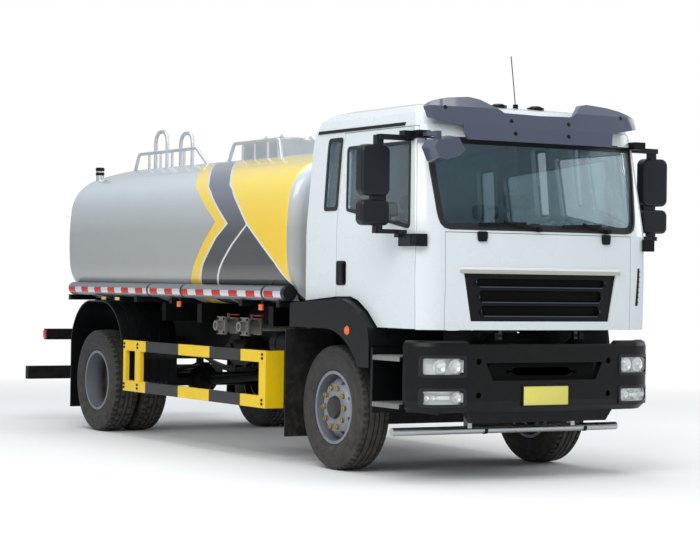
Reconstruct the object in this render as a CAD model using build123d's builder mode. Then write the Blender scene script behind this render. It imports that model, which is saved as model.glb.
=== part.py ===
# Water tank truck on a two-axle chassis, millimetres, +X forward, +Y to the vehicle's left, +Z up.
# The origin is on the ground, at the middle of the truck's length and width.
import os
from build123d import *

os.makedirs("parts", exist_ok=True)

# Axles and wheels
front_axle_x = 2560
wheelbase = 4700
rear_axle_x = front_axle_x - wheelbase
axle_z = 517
tyre_radius = 517
tyre_half_width = 139.5
front_wheel_y = 987
rear_outer_wheel_y = 1082
rear_inner_wheel_y = 758
wheel_bolt_radius = 167
wheel_nut_count = 10
hand_hole_count = 8
kingpin_y = 880
kingpin_radius = 22
running_gap = 0.1

# Ladder frame
rail_outer_y = 430
rail_flange = 75
rail_wall = 8
rail_height = 230
rail_top_z = 1000
frame_rear_x = front_axle_x - 6560
frame_front_x = front_axle_x + 1180

# Cab
cab_wall = 60
door_front_x = front_axle_x + 1264
door_gap = 5
door_swing_relief = 4
door_wall = 50
flap_half_width = 900
flap_top_z = 1955
flap_wall = 40
cab_pivot_x = front_axle_x + 1340
cab_pivot_z = 1150
cab_pivot_radius = 14

# Bumper
bumper_front_x = front_axle_x + 1450
bumper_top_z = 1111
bumper_wall = 70

# Tank
tank_half_width = 1200
tank_top_z = 2760
tank_bottom_z = 1330
tank_front_x = front_axle_x - 620
tank_rear_x = front_axle_x - 5560
tank_corner_radius = 400
tank_rim_radius = 110
tube_radius = 65
tube_y = 1162
tube_z = 1452


def save(piece, name):
    """Labels one finished piece and writes it as its own STEP file."""
    piece.part.label = name
    export_step(piece.part, f"parts/{name}.step")


def rounded_box(x, y, z, radius):
    """A box from (low, high) pairs with all its edges rounded."""
    with BuildPart() as block:
        with Locations(((x[0] + x[1]) / 2, (y[0] + y[1]) / 2, (z[0] + z[1]) / 2)):
            Box(abs(x[1] - x[0]), abs(y[1] - y[0]), abs(z[1] - z[0]))
        fillet(block.edges(), radius=radius)
    return block.part


# Holes for a deck bolted on the rear overhang, and the hose couplings' mouths
deck_bolt_x = front_axle_x - 6080
deck_bolt_spacing_x = 600
deck_bolt_spacing_y = 780
deck_bolt_hole_radius = 8
deck_pad_height = 8
outlet_radius = 26
outlet_depth = 70

# Ladder frame: two channel rails and the cross members between them
cross_member_x = [-6480, -5650, -4050, -3000, -2100, -1200, 1120]
with BuildPart() as chassis_frame:
    for side in (1, -1):
        with BuildSketch(Plane.YZ.offset(frame_rear_x)):
            with Locations((side * (rail_outer_y - rail_flange / 2), rail_top_z - rail_height / 2)):
                Rectangle(rail_flange, rail_height)
            with Locations((side * (rail_outer_y - rail_flange / 2 - rail_wall), rail_top_z - rail_height / 2)):
                Rectangle(rail_flange, rail_height - 2 * rail_wall, mode=Mode.SUBTRACT)
        extrude(amount=frame_front_x - frame_rear_x)
    for x in cross_member_x:
        with Locations((front_axle_x + x, 0, rail_top_z - 80)):
            Box(70, 2 * (rail_outer_y - rail_wall), 120)
    for side in (1, -1):
        with BuildSketch(Plane.XZ.offset(-(side * 413 + 17))) as bracket:
            with BuildLine():
                Polyline(
                    (frame_front_x - 160, 850), (frame_front_x + 60, 850), (cab_pivot_x + 24, cab_pivot_z - 30),
                    (cab_pivot_x + 24, cab_pivot_z + 24), (cab_pivot_x - 24, cab_pivot_z + 24),
                    (frame_front_x - 160, rail_top_z), close=True,
                )
            make_face()
        extrude(bracket.sketch, amount=34)
        with Locations(Location((cab_pivot_x, side * 390, cab_pivot_z), (90, 0, 0))):
            Cylinder(cab_pivot_radius, 80)
        with Locations((front_axle_x - 300, side * 392, 1092)):
            Box(90, 70, 190)
        with Locations((deck_bolt_x, side * deck_bolt_spacing_y / 2, rail_top_z + deck_pad_height / 2)):
            Box(deck_bolt_spacing_x + 120, 60, deck_pad_height)
        for x in (-deck_bolt_spacing_x / 2, deck_bolt_spacing_x / 2):
            with Locations((deck_bolt_x + x, side * deck_bolt_spacing_y / 2, rail_top_z)):
                Cylinder(deck_bolt_hole_radius, 40, mode=Mode.SUBTRACT)
save(chassis_frame, "chassis_frame")

# Front axle: forged beam, dropped between the round kingpin bosses
beam_half_depth = 45
kingpin_boss_radius = 42
with BuildPart() as front_axle_beam:
    with BuildSketch(Plane.YZ.offset(front_axle_x - beam_half_depth)):
        with BuildLine():
            Polyline(
                (0, 370), (600, 370), (770, 450), (kingpin_y, 450), (kingpin_y, 575),
                (760, 575), (600, 470), (0, 470), close=True,
            )
        make_face()
        mirror(about=Plane.YZ)
    extrude(amount=2 * beam_half_depth)
    with Locations((front_axle_x, kingpin_y, 512.5), (front_axle_x, -kingpin_y, 512.5)):
        Cylinder(kingpin_boss_radius, 125)
        Cylinder(kingpin_radius + running_gap, 200, mode=Mode.SUBTRACT)
save(front_axle_beam, "front_axle_beam")

# Rear axle: casing tubes, the round differential housing and the stub for each hub
with BuildPart() as rear_axle:
    with Locations(Location((rear_axle_x, 0, axle_z), (90, 0, 0))):
        Cylinder(70, 1420)
        Cylinder(45, 2 * 1000)
        Cylinder(175, 110)
    with Locations((rear_axle_x, 0, axle_z)):
        Sphere(165)
    with Locations(Location((rear_axle_x + 170, 0, axle_z), (0, 90, 0))):
        Cone(110, 60, 140)
save(rear_axle, "rear_axle")

# Leaf springs: three leaves each, the clamp block over the axle and the hangers at both ends
spring_y = rail_outer_y - rail_flange / 2
spring_width = 66
leaf_thickness = 16


def leaf_pack(axle_x, seat_z, half_length, rise):
    """One spring in the open block: leaves bowed up to both ends, each shorter than the last."""
    for index, share in enumerate((1, 0.78, 0.55)):
        span = half_length * share
        low = seat_z + leaf_thickness * (2 - index)
        lift = rise * share * share
        for side in (1, -1):
            with BuildSketch(Plane.XZ.offset(-(side * spring_y + spring_width / 2))) as leaf:
                with BuildLine():
                    ThreePointArc(
                        (axle_x - span, low + lift), (axle_x, low), (axle_x + span, low + lift)
                    )
                    Line((axle_x + span, low + lift), (axle_x + span, low + lift + leaf_thickness))
                    ThreePointArc(
                        (axle_x + span, low + lift + leaf_thickness),
                        (axle_x, low + leaf_thickness),
                        (axle_x - span, low + lift + leaf_thickness),
                    )
                    Line((axle_x - span, low + lift + leaf_thickness), (axle_x - span, low + lift))
                make_face()
            extrude(leaf.sketch, amount=spring_width)
    for side in (1, -1):
        with Locations((axle_x, side * spring_y, seat_z + 35)):
            Box(150, spring_width + 8, 70)
        for end in (1, -1):
            eye_z = seat_z + 2 * leaf_thickness + rise
            with Locations((axle_x + end * half_length, side * spring_y, (eye_z + 770) / 2)):
                Box(40, spring_width, 770 - eye_z)


with BuildPart() as leaf_springs:
    leaf_pack(front_axle_x, 470, 720, 150)
    leaf_pack(rear_axle_x, axle_z + 70, 740, 90)
save(leaf_springs, "leaf_springs")

# Engine and gearbox, and the shaft to the rear axle
with BuildPart() as engine_block:
    add(rounded_box((front_axle_x - 330, front_axle_x + 800), (-340, 340), (545, 1120), 30))
save(engine_block, "engine_block")

shaft_front = (front_axle_x - 1020, 0, 800)
shaft_rear = (rear_axle_x + 230, 0, axle_z)
with BuildPart() as drive_line:
    with Locations(Location((front_axle_x - 330 - 350, 0, 800), (0, 90, 0))):
        Cylinder(170, 700)
    with Locations((front_axle_x - 600, 0, 830)):
        Box(300, 2 * (rail_outer_y - rail_wall), 50)
    with BuildLine():
        shaft_line = Line(shaft_front, shaft_rear)
    with BuildSketch(Plane(origin=shaft_front, z_dir=shaft_line % 0)):
        Circle(45)
    extrude(amount=shaft_line.length)
    add(rear_axle.part, mode=Mode.SUBTRACT)
save(drive_line, "drive_line")

# Wheels. Every profile is drawn as (y across the tyre, radius) and turned about the axle line.
tyre_profile = [
    (-105, 292), (-105, 304), (-118, 310), (-134, 350), (-tyre_half_width, 410), (-137, 458),
    (-118, tyre_radius - 10), (-60, tyre_radius - 2), (0, tyre_radius),
]


def wheel_plane(axle_x, centre_y, side):
    """A plane on a wheel's centre: its x runs outward along the axle and its y runs up."""
    return Plane(origin=(axle_x, centre_y * side, axle_z), x_dir=(0, side, 0), z_dir=(side, 0, 0))


def turn(points, axle_x, centre_y, side):
    """Turns a closed profile of (outward, radius) points about the axle."""
    plane = wheel_plane(axle_x, centre_y, side)
    with BuildSketch(plane) as profile:
        with BuildLine():
            Polyline(*points, close=True)
        make_face()
    revolve(profile.sketch, axis=Axis((axle_x, 0, axle_z), (0, 1, 0)))


def tyre(axle_x, centre_y, side):
    right_half = [(-x, r) for x, r in reversed(tyre_profile[:-1])]
    turn(tyre_profile + right_half, axle_x, centre_y, side)


rim_section = [
    (-105, 292), (-105, 304), (-117, 304), (-117, 278), (117, 278), (117, 304), (105, 304), (105, 292),
]


def bolt_ring(axle_x, side, face_y, radius, count, bolt_radius, length):
    """Nuts round a wheel's flat face, standing outward from face_y."""
    plane = Plane(origin=(axle_x, side * face_y, axle_z), x_dir=(1, 0, 0), z_dir=(0, side, 0))
    with BuildSketch(plane) as nuts:
        with PolarLocations(radius, count):
            RegularPolygon(bolt_radius, 6)
    extrude(nuts.sketch, amount=length)


front_disc = [
    (-10, 278), (5, 278), (60, 236), (88, 205), (100, 190), (100, 96), (84, 96), (84, 184), (70, 196),
    (45, 222), (-10, 264),
]
front_hub = [(-40, 35), (-40, 190), (-96, 190), (-96, 205), (-20, 205),
             (-20, 120), (84, 110), (84, 96), (128, 84), (140, 60), (140, 0), (70, 0), (70, 35)]


def hand_holes(axle_x, side, hole_y, ring_radius, hole_radius):
    """Round openings through a wheel's disc, cut along the axle."""
    plane = Plane(origin=(axle_x, side * hole_y, axle_z), x_dir=(1, 0, 0), z_dir=(0, side, 0))
    with BuildSketch(plane) as holes:
        with PolarLocations(ring_radius, hand_hole_count, start_angle=22.5):
            Circle(hole_radius)
    extrude(holes.sketch, amount=90, mode=Mode.SUBTRACT)


for side, hand in ((1, "left"), (-1, "right")):
    with BuildPart() as front_tyre:
        tyre(front_axle_x, front_wheel_y, side)
    save(front_tyre, f"front_tyre_{hand}")

    with BuildPart() as front_rim:
        turn(rim_section, front_axle_x, front_wheel_y, side)
        turn(front_disc, front_axle_x, front_wheel_y, side)
        hand_holes(front_axle_x, side, front_wheel_y + 20, 226, 22)
        turn(front_hub, front_axle_x, front_wheel_y, side)
        bolt_ring(front_axle_x, side, front_wheel_y + 100, wheel_bolt_radius, wheel_nut_count, 19, 26)
    save(front_rim, f"front_rim_{hand}")

mate_y = (rear_outer_wheel_y + rear_inner_wheel_y) / 2
outer_disc = [(-106, 278), (-106, 262), (-148, 215), (-162, 190), (-162, 100), (-148, 100), (-148, 184),
              (-134, 204), (-92, 256), (-92, 278)]
inner_disc = [(106, 278), (106, 262), (148, 215), (162, 190), (162, 100), (148, 100), (148, 184),
              (134, 204), (92, 256), (92, 278)]
rear_hub = [(-150, 45.1), (-150, 190), (-250, 190), (-250, 205), (-20, 205), (-20, 130), (0, 130),
            (0, 112), (110, 104), (122, 80), (122, 0), (90, 0), (90, 45.1)]
for side, hand in ((1, "left"), (-1, "right")):
    with BuildPart() as rear_tyres:
        tyre(rear_axle_x, rear_outer_wheel_y, side)
        tyre(rear_axle_x, rear_inner_wheel_y, side)
    save(rear_tyres, f"rear_tyres_{hand}")

    with BuildPart() as rear_rims:
        turn(rim_section, rear_axle_x, rear_outer_wheel_y, side)
        turn(rim_section, rear_axle_x, rear_inner_wheel_y, side)
        turn(outer_disc, rear_axle_x, rear_outer_wheel_y, side)
        turn(inner_disc, rear_axle_x, rear_inner_wheel_y, side)
        hand_holes(rear_axle_x, side, mate_y - 45, 236, 22)
        turn(rear_hub, rear_axle_x, mate_y, side)
        bolt_ring(rear_axle_x, side, mate_y + 14, wheel_bolt_radius, wheel_nut_count, 19, 30)
    save(rear_rims, f"rear_rims_{hand}")

# Steering knuckles: a fork round the axle's boss, the brake plate, the hub's stub and the steering arm
arm_length = 190
arm_y = 800
arm_z = 413
for side, hand in ((1, "left"), (-1, "right")):
    with BuildPart() as knuckle:
        with Locations((front_axle_x, side * (kingpin_y + 4), 605), (front_axle_x, side * (kingpin_y + 4), 420)):
            Box(100, 108, 40)
        with Locations((front_axle_x, side * kingpin_y, axle_z)):
            Cylinder(kingpin_radius, 225)
        with Locations(Location((front_axle_x, side * 938, axle_z), (90, 0, 0))):
            Cylinder(180, 8)
        with Locations((front_axle_x, side * 936, axle_z)):
            Box(100, 12, 225)
        with Locations(Location((front_axle_x, side * 985, axle_z), (90, 0, 0))):
            Cylinder(35 - running_gap, 100)
        with Locations((front_axle_x - arm_length / 2, side * (arm_y + 20), arm_z)):
            Box(arm_length + 60, 60, 26)
        if side == 1:
            with Locations((front_axle_x - arm_length, arm_y, arm_z - 36)):
                Cylinder(12, 60)
    save(knuckle, f"knuckle_{hand}")

rod_z = arm_z - 40
rod_eye_radius = 24
with BuildPart() as tie_rod:
    with Locations(Location((front_axle_x - arm_length, 0, rod_z), (90, 0, 0))):
        Cylinder(19, 2 * arm_y - 40)
    with Locations((front_axle_x - arm_length, arm_y, rod_z), (front_axle_x - arm_length, -arm_y, rod_z)):
        Cylinder(rod_eye_radius, 34)
        Cylinder(12 + running_gap, 60, mode=Mode.SUBTRACT)
save(tie_rod, "tie_rod")

# Water tank: a section of four long arcs with rounded corners, dished slightly at both ends
with BuildPart() as water_tank:
    with BuildSketch(Plane.YZ.offset(tank_rear_x)) as tank_section:
        with BuildLine():
            top_arc = ThreePointArc((-1140, 2498), (0, tank_top_z), (1140, 2498))
            left_side = ThreePointArc((1140, 2498), (tank_half_width, 1950), (1130, 1345))
            bottom_arc = ThreePointArc((1130, 1345), (0, tank_bottom_z), (-1130, 1345))
            right_side = ThreePointArc((-1130, 1345), (-tank_half_width, 1950), (-1140, 2498))
        make_face()
        fillet(tank_section.vertices(), radius=tank_corner_radius)
    extrude(amount=tank_front_x - tank_rear_x)
    end_edges = water_tank.faces().filter_by(Axis.X).edges()
    fillet(end_edges, radius=tank_rim_radius)
save(water_tank, "water_tank")

# Tank cradle: two sills on the rails, and the saddles beside and between them, cut to the tank's underside
saddle_x = [-5420, -3750, -2950, -1500, -800]
with BuildPart() as tank_sills:
    for side in (1, -1):
        with Locations((front_axle_x - 3075, side * (rail_outer_y - rail_flange / 2), 1200)):
            Box(4750, rail_flange, 400)
    add(water_tank.part, mode=Mode.SUBTRACT)
save(tank_sills, "tank_sills")

with BuildPart() as tank_saddles:
    for x in saddle_x:
        with Locations((front_axle_x + x, 0, 1275)):
            Box(90, 1800, 250)
        for side in (1, -1):
            with Locations((front_axle_x + x, side * 1040, 1358)):
                Box(60, 340, 56)
    add(water_tank.part, mode=Mode.SUBTRACT)
    add(tank_sills.part, mode=Mode.SUBTRACT)
save(tank_saddles, "tank_saddles")

# Hose tubes along both sides, closed by an end cap at the front
tube_rear_x = front_axle_x - 5420
tube_front_x = front_axle_x - 670
with BuildPart() as hose_tubes:
    for side in (1, -1):
        with Locations(Location(((tube_rear_x + tube_front_x) / 2, side * tube_y, tube_z), (0, 90, 0))):
            Cylinder(tube_radius, tube_front_x - tube_rear_x)
save(hose_tubes, "hose_tubes")

# Bent bars of the tank-top walkway rail
rail_tube = 17


def tube_run(points, radius, tube=rail_tube):
    """A bent round bar through points, with the same bend radius at every corner."""
    with BuildLine() as run:
        FilletPolyline(*points, radius=radius)
    with BuildSketch(Plane(origin=run.line @ 0, z_dir=run.line % 0)) as round_bar:
        Circle(tube)
    sweep(round_bar.sketch, path=run.line)


rail_y = -440
rail_top = 2890
rail_foot = 2660
rear_run = (-5530, -5400, -4010, -3665)
front_run = (-3315, -3170, -2240, -2180)
rear_posts = [-5140, -4860, -4580, -4290]
front_posts = [-2980, -2730, -2470]


def tank_rails():
    for run, posts in ((rear_run, rear_posts), (front_run, front_posts)):
        heights = (rail_foot, rail_top, rail_top, rail_foot)
        tube_run([(front_axle_x + x, rail_y, z) for x, z in zip(run, heights)], 60)
        for x in posts:
            with Locations((front_axle_x + x, rail_y, (rail_foot + rail_top) / 2)):
                Cylinder(rail_tube - 3, rail_top - rail_foot)


# Tank top: grey box with the manway bore, its lid, the walkway rail and the rear ladder
manway_x = front_axle_x - 2870
manway_top_z = 2915
manway_radius = 220
manway_depth = 130
with BuildPart() as tank_top_fittings:
    with Locations((manway_x, 0, 2790)):
        Box(720, 620, 2 * (manway_top_z - 2790))
    fillet(tank_top_fittings.edges().filter_by(Axis.Z), radius=40)
    with Locations((manway_x, 0, manway_top_z)):
        Cylinder(manway_radius, 2 * manway_depth, mode=Mode.SUBTRACT)
    for y in (-90, 90):
        with Locations((manway_x - 300, y, manway_top_z + 16)):
            Box(30, 24, 40)
    with Locations((front_axle_x - 5430, -880, 2640)):
        Cylinder(42, 120)
    tank_rails()
    add(water_tank.part, mode=Mode.SUBTRACT)
save(tank_top_fittings, "tank_top_fittings")

lid_hinge_x = manway_x - 300
lid_hinge_z = manway_top_z + 24
with BuildPart() as manway_lid:
    with Locations((manway_x, 0, manway_top_z + 12)):
        Cylinder(250, 22)
    with Locations((manway_x, 0, manway_top_z + 28)):
        Cone(230, 150, 20)
    with Locations((manway_x - 265, 0, manway_top_z + 14)):
        Box(90, 140, 16)
    with Locations(Location((manway_x + 262, 0, manway_top_z + 14), (0, 90, 0))):
        Cylinder(9, 50)
save(manway_lid, "manway_lid")

hoop_y = 150
hoop_top_z = 3150
with BuildPart() as rear_ladder:
    for side in (1, -1):
        tube_run(
            [
                (front_axle_x - 5320, side * hoop_y, 2650), (front_axle_x - 5320, side * hoop_y, hoop_top_z),
                (front_axle_x - 5610, side * hoop_y, hoop_top_z), (front_axle_x - 5610, side * hoop_y, 1000),
            ],
            120,
            20,
        )
        for z in (1500, 2300):
            with Locations((front_axle_x - 5575, side * hoop_y, z)):
                Box(60, 24, 40)
    for step in range(6):
        with Locations(Location((front_axle_x - 5610, 0, 1150 + 290 * step), (90, 0, 0))):
            Cylinder(14, 2 * hoop_y)
    add(water_tank.part, mode=Mode.SUBTRACT)
save(rear_ladder, "rear_ladder")

# Rear mudguards: a plastic arch over each pair of twin tyres with a flap behind, on brackets to the rail
guard_front_x = front_axle_x - 4045
guard_rear_x = front_axle_x - 5330
guard_top_z = 1318
guard_wall = 14
guard_inner_y = 615
guard_outer_y = 1222
with BuildPart() as rear_mudguards:
    for side in (1, -1):
        low_y = min(side * guard_inner_y, side * guard_outer_y)
        with BuildSketch(Plane.XZ.offset(-low_y)) as arch:
            with BuildLine() as arch_line:
                Polyline((guard_front_x, 530), (guard_front_x, 930))
                ThreePointArc(
                    (guard_front_x, 930), (guard_front_x - 190, 1215), (guard_front_x - 460, guard_top_z)
                )
                Line((guard_front_x - 460, guard_top_z), (guard_rear_x + 460, guard_top_z))
                ThreePointArc(
                    (guard_rear_x + 460, guard_top_z), (guard_rear_x + 190, 1215), (guard_rear_x, 930)
                )
                Line((guard_rear_x, 930), (guard_rear_x, 210))
                offset(amount=guard_wall, side=Side.RIGHT)
            make_face()
        extrude(arch.sketch, amount=-(guard_outer_y - guard_inner_y))
        for x in (rear_axle_x + 420, rear_axle_x - 420):
            with Locations((x, side * (rail_outer_y + 100), 950)):
                Box(50, 200, 40)
            with Locations((x, side * 622, 1080)):
                Box(50, 14, 300)
save(rear_mudguards, "rear_mudguards")

# Side guards: two rails on posts, the front post with a plate turned inward, arms to the rail
side_guard_y = 1200
guard_rail_wall = 40
guard_rail_rows = [(450, 555), (848, 950)]
guard_posts = [(-4000, -3940), (-3720, -3600), (-1110, -985)]
guard_arms = [(-3660, 800), (-2380, 900)]
with BuildPart() as side_guards:
    for side in (1, -1):
        for low, high in guard_rail_rows:
            with Locations((front_axle_x - 2492, side * side_guard_y, (low + high) / 2)):
                Box(3015, guard_rail_wall, high - low)
        for rear, front in guard_posts:
            with Locations((front_axle_x + (rear + front) / 2, side * side_guard_y, 700)):
                Box(front - rear, guard_rail_wall, 500)
        with Locations((front_axle_x - 993, side * (side_guard_y - 70), 700)):
            Box(16, 180, 500)
        for x, z in guard_arms:
            with Locations((front_axle_x + x, side * (rail_outer_y + 380), z)):
                Box(60, 760, 50)
save(side_guards, "side_guards")

# Rear beams: the lamp beam on the rails' ends and the underrun bar hung below it
lamp_beam_x = front_axle_x - 6605
underrun_x = front_axle_x - 6640
with BuildPart() as rear_beams:
    with Locations((lamp_beam_x, 0, 932)):
        Box(90, 2000, 119)
    with Locations((underrun_x, 0, 508)):
        Box(80, 2400, 142)
    for y in (-390, 390):
        with Locations((front_axle_x - 6605, y, 725)):
            Box(70, 60, 300)
save(rear_beams, "rear_beams")

# Fuel tank on the left, air tanks and battery box on the right, hung from the rails
with BuildPart() as frame_side_tanks:
    with BuildSketch(Plane.YZ.offset(front_axle_x - 2000)) as tank_end:
        with Locations((800, 740)):
            RectangleRounded(560, 500, 90)
    extrude(amount=850)
    with Locations((front_axle_x - 1800, 475, 900), (front_axle_x - 1350, 475, 900)):
        Box(50, 90, 120)
    add(rounded_box((front_axle_x - 1420, front_axle_x - 800), (-1030, -560), (560, 830), 20))
    with Locations((front_axle_x - 1110, -495, 790)):
        Box(300, 130, 50)
    for y in (-640, -880):
        with Locations(Location((front_axle_x - 1110, y, 1000), (0, 90, 0))):
            Cylinder(105, 520)
    with Locations((front_axle_x - 1110, -705, 870)):
        Box(60, 550, 60)
save(frame_side_tanks, "frame_side_tanks")

# Water pump between the frame and the right outlets, and the two outlet valves facing outward
valve_x = [-2410, -1940]
valve_z = 1135
outlet_mouth_y = -1000
with BuildPart() as pump_and_valves:
    with Locations(Location((front_axle_x - 2750, -560, 900), (90, 0, 0))):
        Cylinder(150, 110)
        Cylinder(60, 260)
    with Locations(Location((front_axle_x - 2600, -560, 900), (0, 90, 0))):
        Cylinder(110, 260)
    for x in valve_x:
        with Locations(Location((front_axle_x + x, 0, valve_z), (90, 0, 0))):
            with Locations((0, 0, -outlet_mouth_y - 40)):
                Cylinder(46, 80)
            with Locations((0, 0, 930)):
                Box(165, 165, 22)
            with Locations((0, 0, 862)):
                Cylinder(64, 116)
            with Locations((0, 0, 800)):
                Box(150, 150, 18)
            with Locations((0, 0, (rail_outer_y + 800) / 2)):
                Cylinder(40, 800 - rail_outer_y)
            with Locations((0, 0, -outlet_mouth_y)):
                Cylinder(outlet_radius, 2 * outlet_depth, mode=Mode.SUBTRACT)
        with Locations((front_axle_x + x, -862, valve_z + 84)):
            Cylinder(12, 60)
save(pump_and_valves, "pump_and_valves")

# Bumper: a deep shell with bevelled edges, raised ends, a step recess, lamp pockets and a lower skid
lamp_rows = [(847, 979), (615, 725)]
lamp_inner_y = 760
lamp_outer_y = 1090
lamp_y = (lamp_inner_y + lamp_outer_y) / 2
pocket_back_x = front_axle_x + 1305
bumper_rear_x = front_axle_x + 1185
bumper_levels = [(550, 44), (588, 12), (640, 0), (1066, 0), (1096, 9), (bumper_top_z, 26)]
raised_end_y = 744
tow_hole_y = 630


def bumper_plan(inset, z=0, rear_x=bumper_rear_x):
    """The bumper's outline from above at one height, moved in from the front and the sides."""
    with BuildSketch(Plane.XY.offset(z)) as plan:
        with BuildLine():
            ThreePointArc(
                (bumper_front_x - 30 - inset, -930), (bumper_front_x + 10 - inset, 0),
                (bumper_front_x - 30 - inset, 930),
            )
            left = ThreePointArc(
                (bumper_front_x - 30 - inset, 930), (front_axle_x + 1348 - inset, 1082 - inset * 0.7),
                (front_axle_x + 1215 - inset * 0.3, 1165 - inset),
            )
            right = ThreePointArc(
                (bumper_front_x - 30 - inset, -930), (front_axle_x + 1348 - inset, -1082 + inset * 0.7),
                (front_axle_x + 1215 - inset * 0.3, -1165 + inset),
            )
            Polyline(left @ 1, (rear_x, 1170 - inset), (rear_x, -1170 + inset), right @ 1)
        make_face()
    return plan.sketch


def lamp_blocks(shrink):
    """The rounded lamp pockets of both sides, as solids reaching out past the bumper's front."""
    with BuildPart() as blocks:
        with BuildSketch(Plane.YZ.offset(pocket_back_x)):
            for side in (1, -1):
                for low, high in lamp_rows:
                    with Locations((side * lamp_y, (low + high) / 2)):
                        RectangleRounded(lamp_outer_y - lamp_inner_y - shrink, high - low - shrink, 30)
        extrude(amount=170)
    return blocks.part


with BuildPart() as bumper:
    loft([bumper_plan(inset, z) for z, inset in bumper_levels], ruled=True)
    with BuildPart(mode=Mode.PRIVATE) as bumper_hollow:
        extrude(bumper_plan(bumper_wall, 0, bumper_rear_x - 40), amount=bumper_top_z + 100)
    add(bumper_hollow.part, mode=Mode.SUBTRACT)
    with BuildSketch(Plane.YZ.offset(front_axle_x + 1100)) as top_notch:
        with BuildLine():
            Polyline(
                (-raised_end_y - 42, 1150), (-raised_end_y + 42, 1084), (raised_end_y - 42, 1084),
                (raised_end_y + 42, 1150), close=True,
            )
        make_face()
    extrude(top_notch.sketch, amount=500, mode=Mode.SUBTRACT)
    with BuildSketch(Plane.YZ.offset(bumper_front_x - 40)) as step_recess:
        with BuildLine():
            Polyline((-500, 800), (-565, 940), (565, 940), (500, 800), close=True)
        make_face()
    extrude(step_recess.sketch, amount=90, mode=Mode.SUBTRACT)
    add(lamp_blocks(0), mode=Mode.SUBTRACT)
    for side in (1, -1):
        for z in (686, 950):
            with Locations(Location((bumper_front_x, side * tow_hole_y, z), (0, 90, 0))):
                Cylinder(24, 90, mode=Mode.SUBTRACT)
    with BuildSketch(Plane.YZ.offset(front_axle_x + 1315)) as skid:
        with BuildLine():
            Polyline((-640, 465), (-720, 572), (720, 572), (640, 465), close=True)
        make_face()
    extrude(skid.sketch, amount=85)
    for side in (1, -1):
        with Locations((front_axle_x + 1290, side * 340, 800)):
            Box(200, 40, 90)
    add(chassis_frame.part, mode=Mode.SUBTRACT)
save(bumper, "bumper")

# Lamp units: one block in each pocket of the bumper, and the tail and end lamps of the rear beam
lamp_setback = 14
with BuildPart() as lamp_units:
    add(lamp_blocks(1))
    add(bumper.part, mode=Mode.SUBTRACT)
    with BuildSketch(Plane.XY):
        add(bumper_plan(lamp_setback))
    extrude(amount=bumper_top_z, mode=Mode.INTERSECT)
    for side in (1, -1):
        with Locations((lamp_beam_x - 55, side * 830, 932)):
            Box(20, 300, 100)
        with Locations((lamp_beam_x, side * 1010, 932)):
            Box(80, 20, 100)
save(lamp_units, "lamp_units")

# Entry steps between the wheel arch and the bumper, both sides, on an arm from the rail
step_rear_x = front_axle_x + 735
step_front_x = bumper_rear_x - 6
step_length = step_front_x - step_rear_x
step_mid_x = (step_front_x + step_rear_x) / 2
with BuildPart() as entry_steps:
    for side in (1, -1):
        with Locations((step_mid_x, side * 815, 780)):
            Box(step_length, 30, 520)
        with Locations((step_rear_x + 15, side * 1000, 780)):
            Box(30, 380, 520)
        for z in (595, 965):
            with Locations((step_mid_x, side * 1000, z)):
                Box(step_length, 380, 30)
        with Locations((front_axle_x + 880, side * 615, 860)):
            Box(80, 370, 80)
save(entry_steps, "entry_steps")

# Front spray pipe under the bumper, held by two hangers
with BuildPart() as spray_pipe:
    with Locations(Location((front_axle_x + 1130, -140, 395), (90, 0, 0))):
        Cylinder(32, 2180)
    for y in (-520, 490):
        with Locations((front_axle_x + 1130, y, 600)):
            Box(60, 40, 380)
        with Locations((front_axle_x + 1130, y * 0.87, 755)):
            Box(60, 100, 30)
save(spray_pipe, "spray_pipe")

# Mud flaps behind the front wheels, on arms from the rail
with BuildPart() as front_mud_flaps:
    for side in (1, -1):
        with Locations((front_axle_x - 665, side * 960, 690)):
            Box(16, 480, 920)
        with Locations((front_axle_x - 690, side * 760, 905)):
            Box(34, 660, 50)
save(front_mud_flaps, "front_mud_flaps")

# Cab: horizontal outlines (height, front, half width, rear) give the whole outer form
cab_sections = [
    (1195, 1405, 1118, -530),
    (1600, 1412, 1120, -530),
    (1960, 1405, 1120, -530),
    (2050, 1392, 1116, -530),
    (2650, 1305, 1066, -530),
    (2800, 1270, 1046, -525),
    (2900, 1215, 1010, -480),
    (2962, 1110, 945, -370),
    (2990, 960, 840, -200),
]
corner_depth = 145
corner_width = 220
rear_corner = 60


def cab_outline(z, front, half_width, rear, inset):
    """One level outline: bowed front, rounded front corners, straight sides, small rear corners."""
    front_x = front_axle_x + front - inset
    rear_x = front_axle_x + rear + inset
    side_y = half_width - inset
    bow_x = front_x - 45
    bow_y = side_y - corner_width
    side_x = front_x - corner_depth
    mid = (bow_x - 32, side_y - 82)
    with BuildSketch(Plane.XY.offset(z)) as outline:
        with BuildLine():
            ThreePointArc((bow_x, -bow_y), (front_x, 0), (bow_x, bow_y))
            ThreePointArc((bow_x, bow_y), mid, (side_x, side_y))
            Line((side_x, side_y), (rear_x + rear_corner, side_y))
            Line((rear_x + rear_corner, side_y), (rear_x, side_y - rear_corner))
            Line((rear_x, side_y - rear_corner), (rear_x, -side_y + rear_corner))
            Line((rear_x, -side_y + rear_corner), (rear_x + rear_corner, -side_y))
            Line((rear_x + rear_corner, -side_y), (side_x, -side_y))
            ThreePointArc((side_x, -side_y), (mid[0], -mid[1]), (bow_x, -bow_y))
        make_face()
    return outline.sketch


def cab_form(inset, floor=True):
    """The cab's closed form, drawn in (or out, if negative) by an even inset; floor=False leaves it
    as deep as the outer form, so that a layer taken between two forms has no floor."""
    levels = [list(row) for row in cab_sections]
    levels[0][0] += inset if floor else -20
    levels[-1][0] -= inset
    levels[-2][0] -= inset * 0.8
    levels[-3][0] -= inset * 0.5
    outlines = [cab_outline(*row, inset) for row in levels]
    with BuildPart() as form:
        loft(outlines, ruled=True)
    return form.part


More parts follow.
